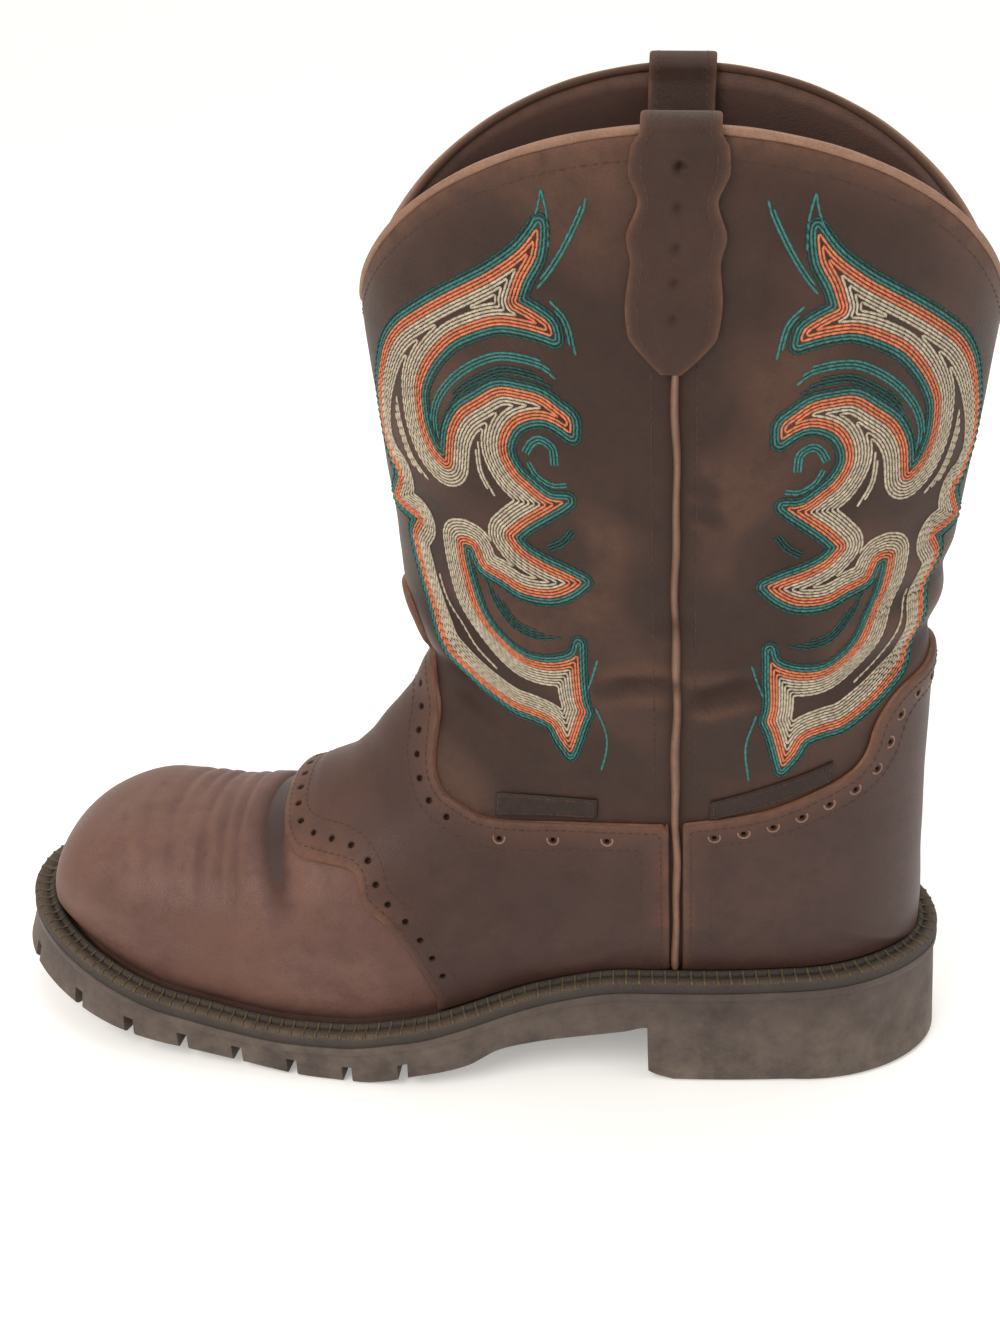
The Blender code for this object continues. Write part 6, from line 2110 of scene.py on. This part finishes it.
def make_stage():
    """Pale floor and backdrop, soft light and the camera."""
    settings = bpy.context.scene.boot_stage
    made, tree, shader = finish("stage_floor")
    coords = add(tree, "ShaderNodeTexCoord").outputs["Object"]
    tone = ramp(tree, noise(tree, coords, 3.0, 2.0, 0.5), 0.3, 0.7)
    pale = tuple(settings.floor)
    tree.links.new(blend_colour(tree, tone, pale, [0.985 * c for c in pale]), shader.inputs["Base Color"])
    shader.inputs["Roughness"].default_value = 0.9
    shader.inputs["Specular IOR Level"].default_value = 0.1
    shader.inputs["Emission Color"].default_value = (1.0, 0.985, 0.965, 1.0)
    shader.inputs["Emission Strength"].default_value = 0.26
    rows = []
    for turn in np.linspace(0, pi / 2, 17):
        rows.append((1.6 + 0.8 * sin(turn), 0.8 - 0.8 * cos(turn)))
    rows = [(-3.0, 0.0), (0.4, 0.0)] + rows + [(2.4, 4.0)]
    bm = bmesh.new()
    lines = [[bm.verts.new((x, y, z)) for x in (-4.0, 4.0)] for y, z in rows]
    for low, high in zip(lines, lines[1:]):
        bm.faces.new((low[0], low[1], high[1], high[0]))
    mesh = bpy.data.meshes.new("stage_floor")
    bm.to_mesh(mesh)
    bm.free()
    mesh.materials.append(made)
    mesh.shade_smooth()
    floor = bpy.data.objects.new("stage_floor", mesh)
    bpy.context.scene.collection.objects.link(floor)
    world = bpy.data.worlds.new("studio")
    world.use_nodes = True
    bpy.context.scene.world = world
    back = world.node_tree.nodes["Background"]
    back.inputs["Color"].default_value = (1.0, 0.985, 0.96, 1.0)
    back.inputs["Strength"].default_value = settings.sky
    for light in LIGHTS:
        data = bpy.data.lights.new(light.name, "AREA")
        data.shape = "DISK"
        data.size = light.size
        data.energy = light.share * settings.key
        data.color = light.colour
        lamp = bpy.data.objects.new(light.name, data)
        lamp.location = light.place
        lamp.rotation_euler = (LIGHT_AIM - Vector(light.place)).to_track_quat("-Z", "Y").to_euler()
        bpy.context.scene.collection.objects.link(lamp)
    yaw, pitch, roll = (radians(turn) for turn in CAMERA_TURN)
    ahead = Vector((-sin(yaw) * cos(pitch), cos(yaw) * cos(pitch), -sin(pitch)))
    right = ahead.cross(Vector((0, 0, 1))).normalized()
    up = right.cross(ahead)
    right, up = right * cos(roll) + up * sin(roll), up * cos(roll) - right * sin(roll)
    matrix = Matrix((right, up, -ahead)).transposed().to_4x4()
    matrix.translation = CAMERA_PLACE
    data = bpy.data.cameras.new("camera")
    camera = bpy.data.objects.new("camera", data)
    bpy.context.scene.collection.objects.link(camera)
    camera.matrix_world = matrix
    data.sensor_width = SENSOR_WIDTH
    data.lens = FOCUS * SENSOR_WIDTH / PHOTO_HEIGHT
    data.clip_start = 0.01
    bpy.context.scene.camera = camera
    bpy.context.scene.view_settings.view_transform = "Standard"


class BOOT_OT_upper(bpy.types.Operator):
    """Build the creased upper and its lining"""

    bl_idname = "boot.upper"
    bl_label = "Upper"

    def execute(self, context):
        make_upper()
        return {"FINISHED"}


class BOOT_OT_overlays(bpy.types.Operator):
    """Build the saddle and the counter with their stitches"""

    bl_idname = "boot.overlays"
    bl_label = "Overlays"

    def execute(self, context):
        make_overlays()
        return {"FINISHED"}


class BOOT_OT_trim(bpy.types.Operator):
    """Build the piping, the binding and the side tabs"""

    bl_idname = "boot.trim"
    bl_label = "Trim"

    def execute(self, context):
        make_trim()
        make_tabs()
        return {"FINISHED"}


class BOOT_OT_straps(bpy.types.Operator):
    """Build the pull straps"""

    bl_idname = "boot.straps"
    bl_label = "Pull Straps"

    def execute(self, context):
        make_straps()
        return {"FINISHED"}


class BOOT_OT_embroidery(bpy.types.Operator):
    """Sew the scrolls on the shaft"""

    bl_idname = "boot.embroidery"
    bl_label = "Embroidery"

    def execute(self, context):
        make_embroidery()
        return {"FINISHED"}


class BOOT_OT_sole(bpy.types.Operator):
    """Finish the sole, the welt and the footbed"""

    bl_idname = "boot.sole"
    bl_label = "Sole and Welt"

    def execute(self, context):
        make_welt()
        make_footbed()
        make_outsole()
        return {"FINISHED"}


class BOOT_OT_stage(bpy.types.Operator):
    """Set the floor, the lights and the camera"""

    bl_idname = "boot.stage"
    bl_label = "Stage"

    def execute(self, context):
        make_stage()
        return {"FINISHED"}


class BOOT_PT_panel(bpy.types.Panel):
    """Lists the pieces of the boot"""

    bl_idname = "BOOT_PT_panel"
    bl_label = "Western Work Boot"
    bl_space_type = "VIEW_3D"
    bl_region_type = "UI"
    bl_category = "Boot"

    def draw(self, context):
        for operator in OPERATORS:
            self.layout.operator(operator.bl_idname)


OPERATORS = (
    BOOT_OT_upper, BOOT_OT_overlays, BOOT_OT_trim, BOOT_OT_straps,
    BOOT_OT_embroidery, BOOT_OT_sole, BOOT_OT_stage,
)
SETTINGS = {
    "boot_leather": LeatherSettings, "boot_stitching": StitchSettings,
    "boot_sole": SoleSettings, "boot_stage": StageSettings,
}


def register():
    """Add the settings, the operators and the panel."""
    for name, kind in SETTINGS.items():
        bpy.utils.register_class(kind)
        setattr(bpy.types.Scene, name, bpy.props.PointerProperty(type=kind))
    for kind in (*OPERATORS, BOOT_PT_panel):
        bpy.utils.register_class(kind)


def unregister():
    """Take them away again."""
    for kind in (BOOT_PT_panel, *OPERATORS[::-1]):
        bpy.utils.unregister_class(kind)
    for name, kind in SETTINGS.items():
        delattr(bpy.types.Scene, name)
        bpy.utils.unregister_class(kind)


def main():
    """Build the boot."""
    register()
    bpy.ops.boot.upper()
    bpy.ops.boot.overlays()
    bpy.ops.boot.trim()
    bpy.ops.boot.straps()
    bpy.ops.boot.embroidery()
    bpy.ops.boot.sole()
    bpy.ops.boot.stage()


if __name__ == "__main__":
    main()
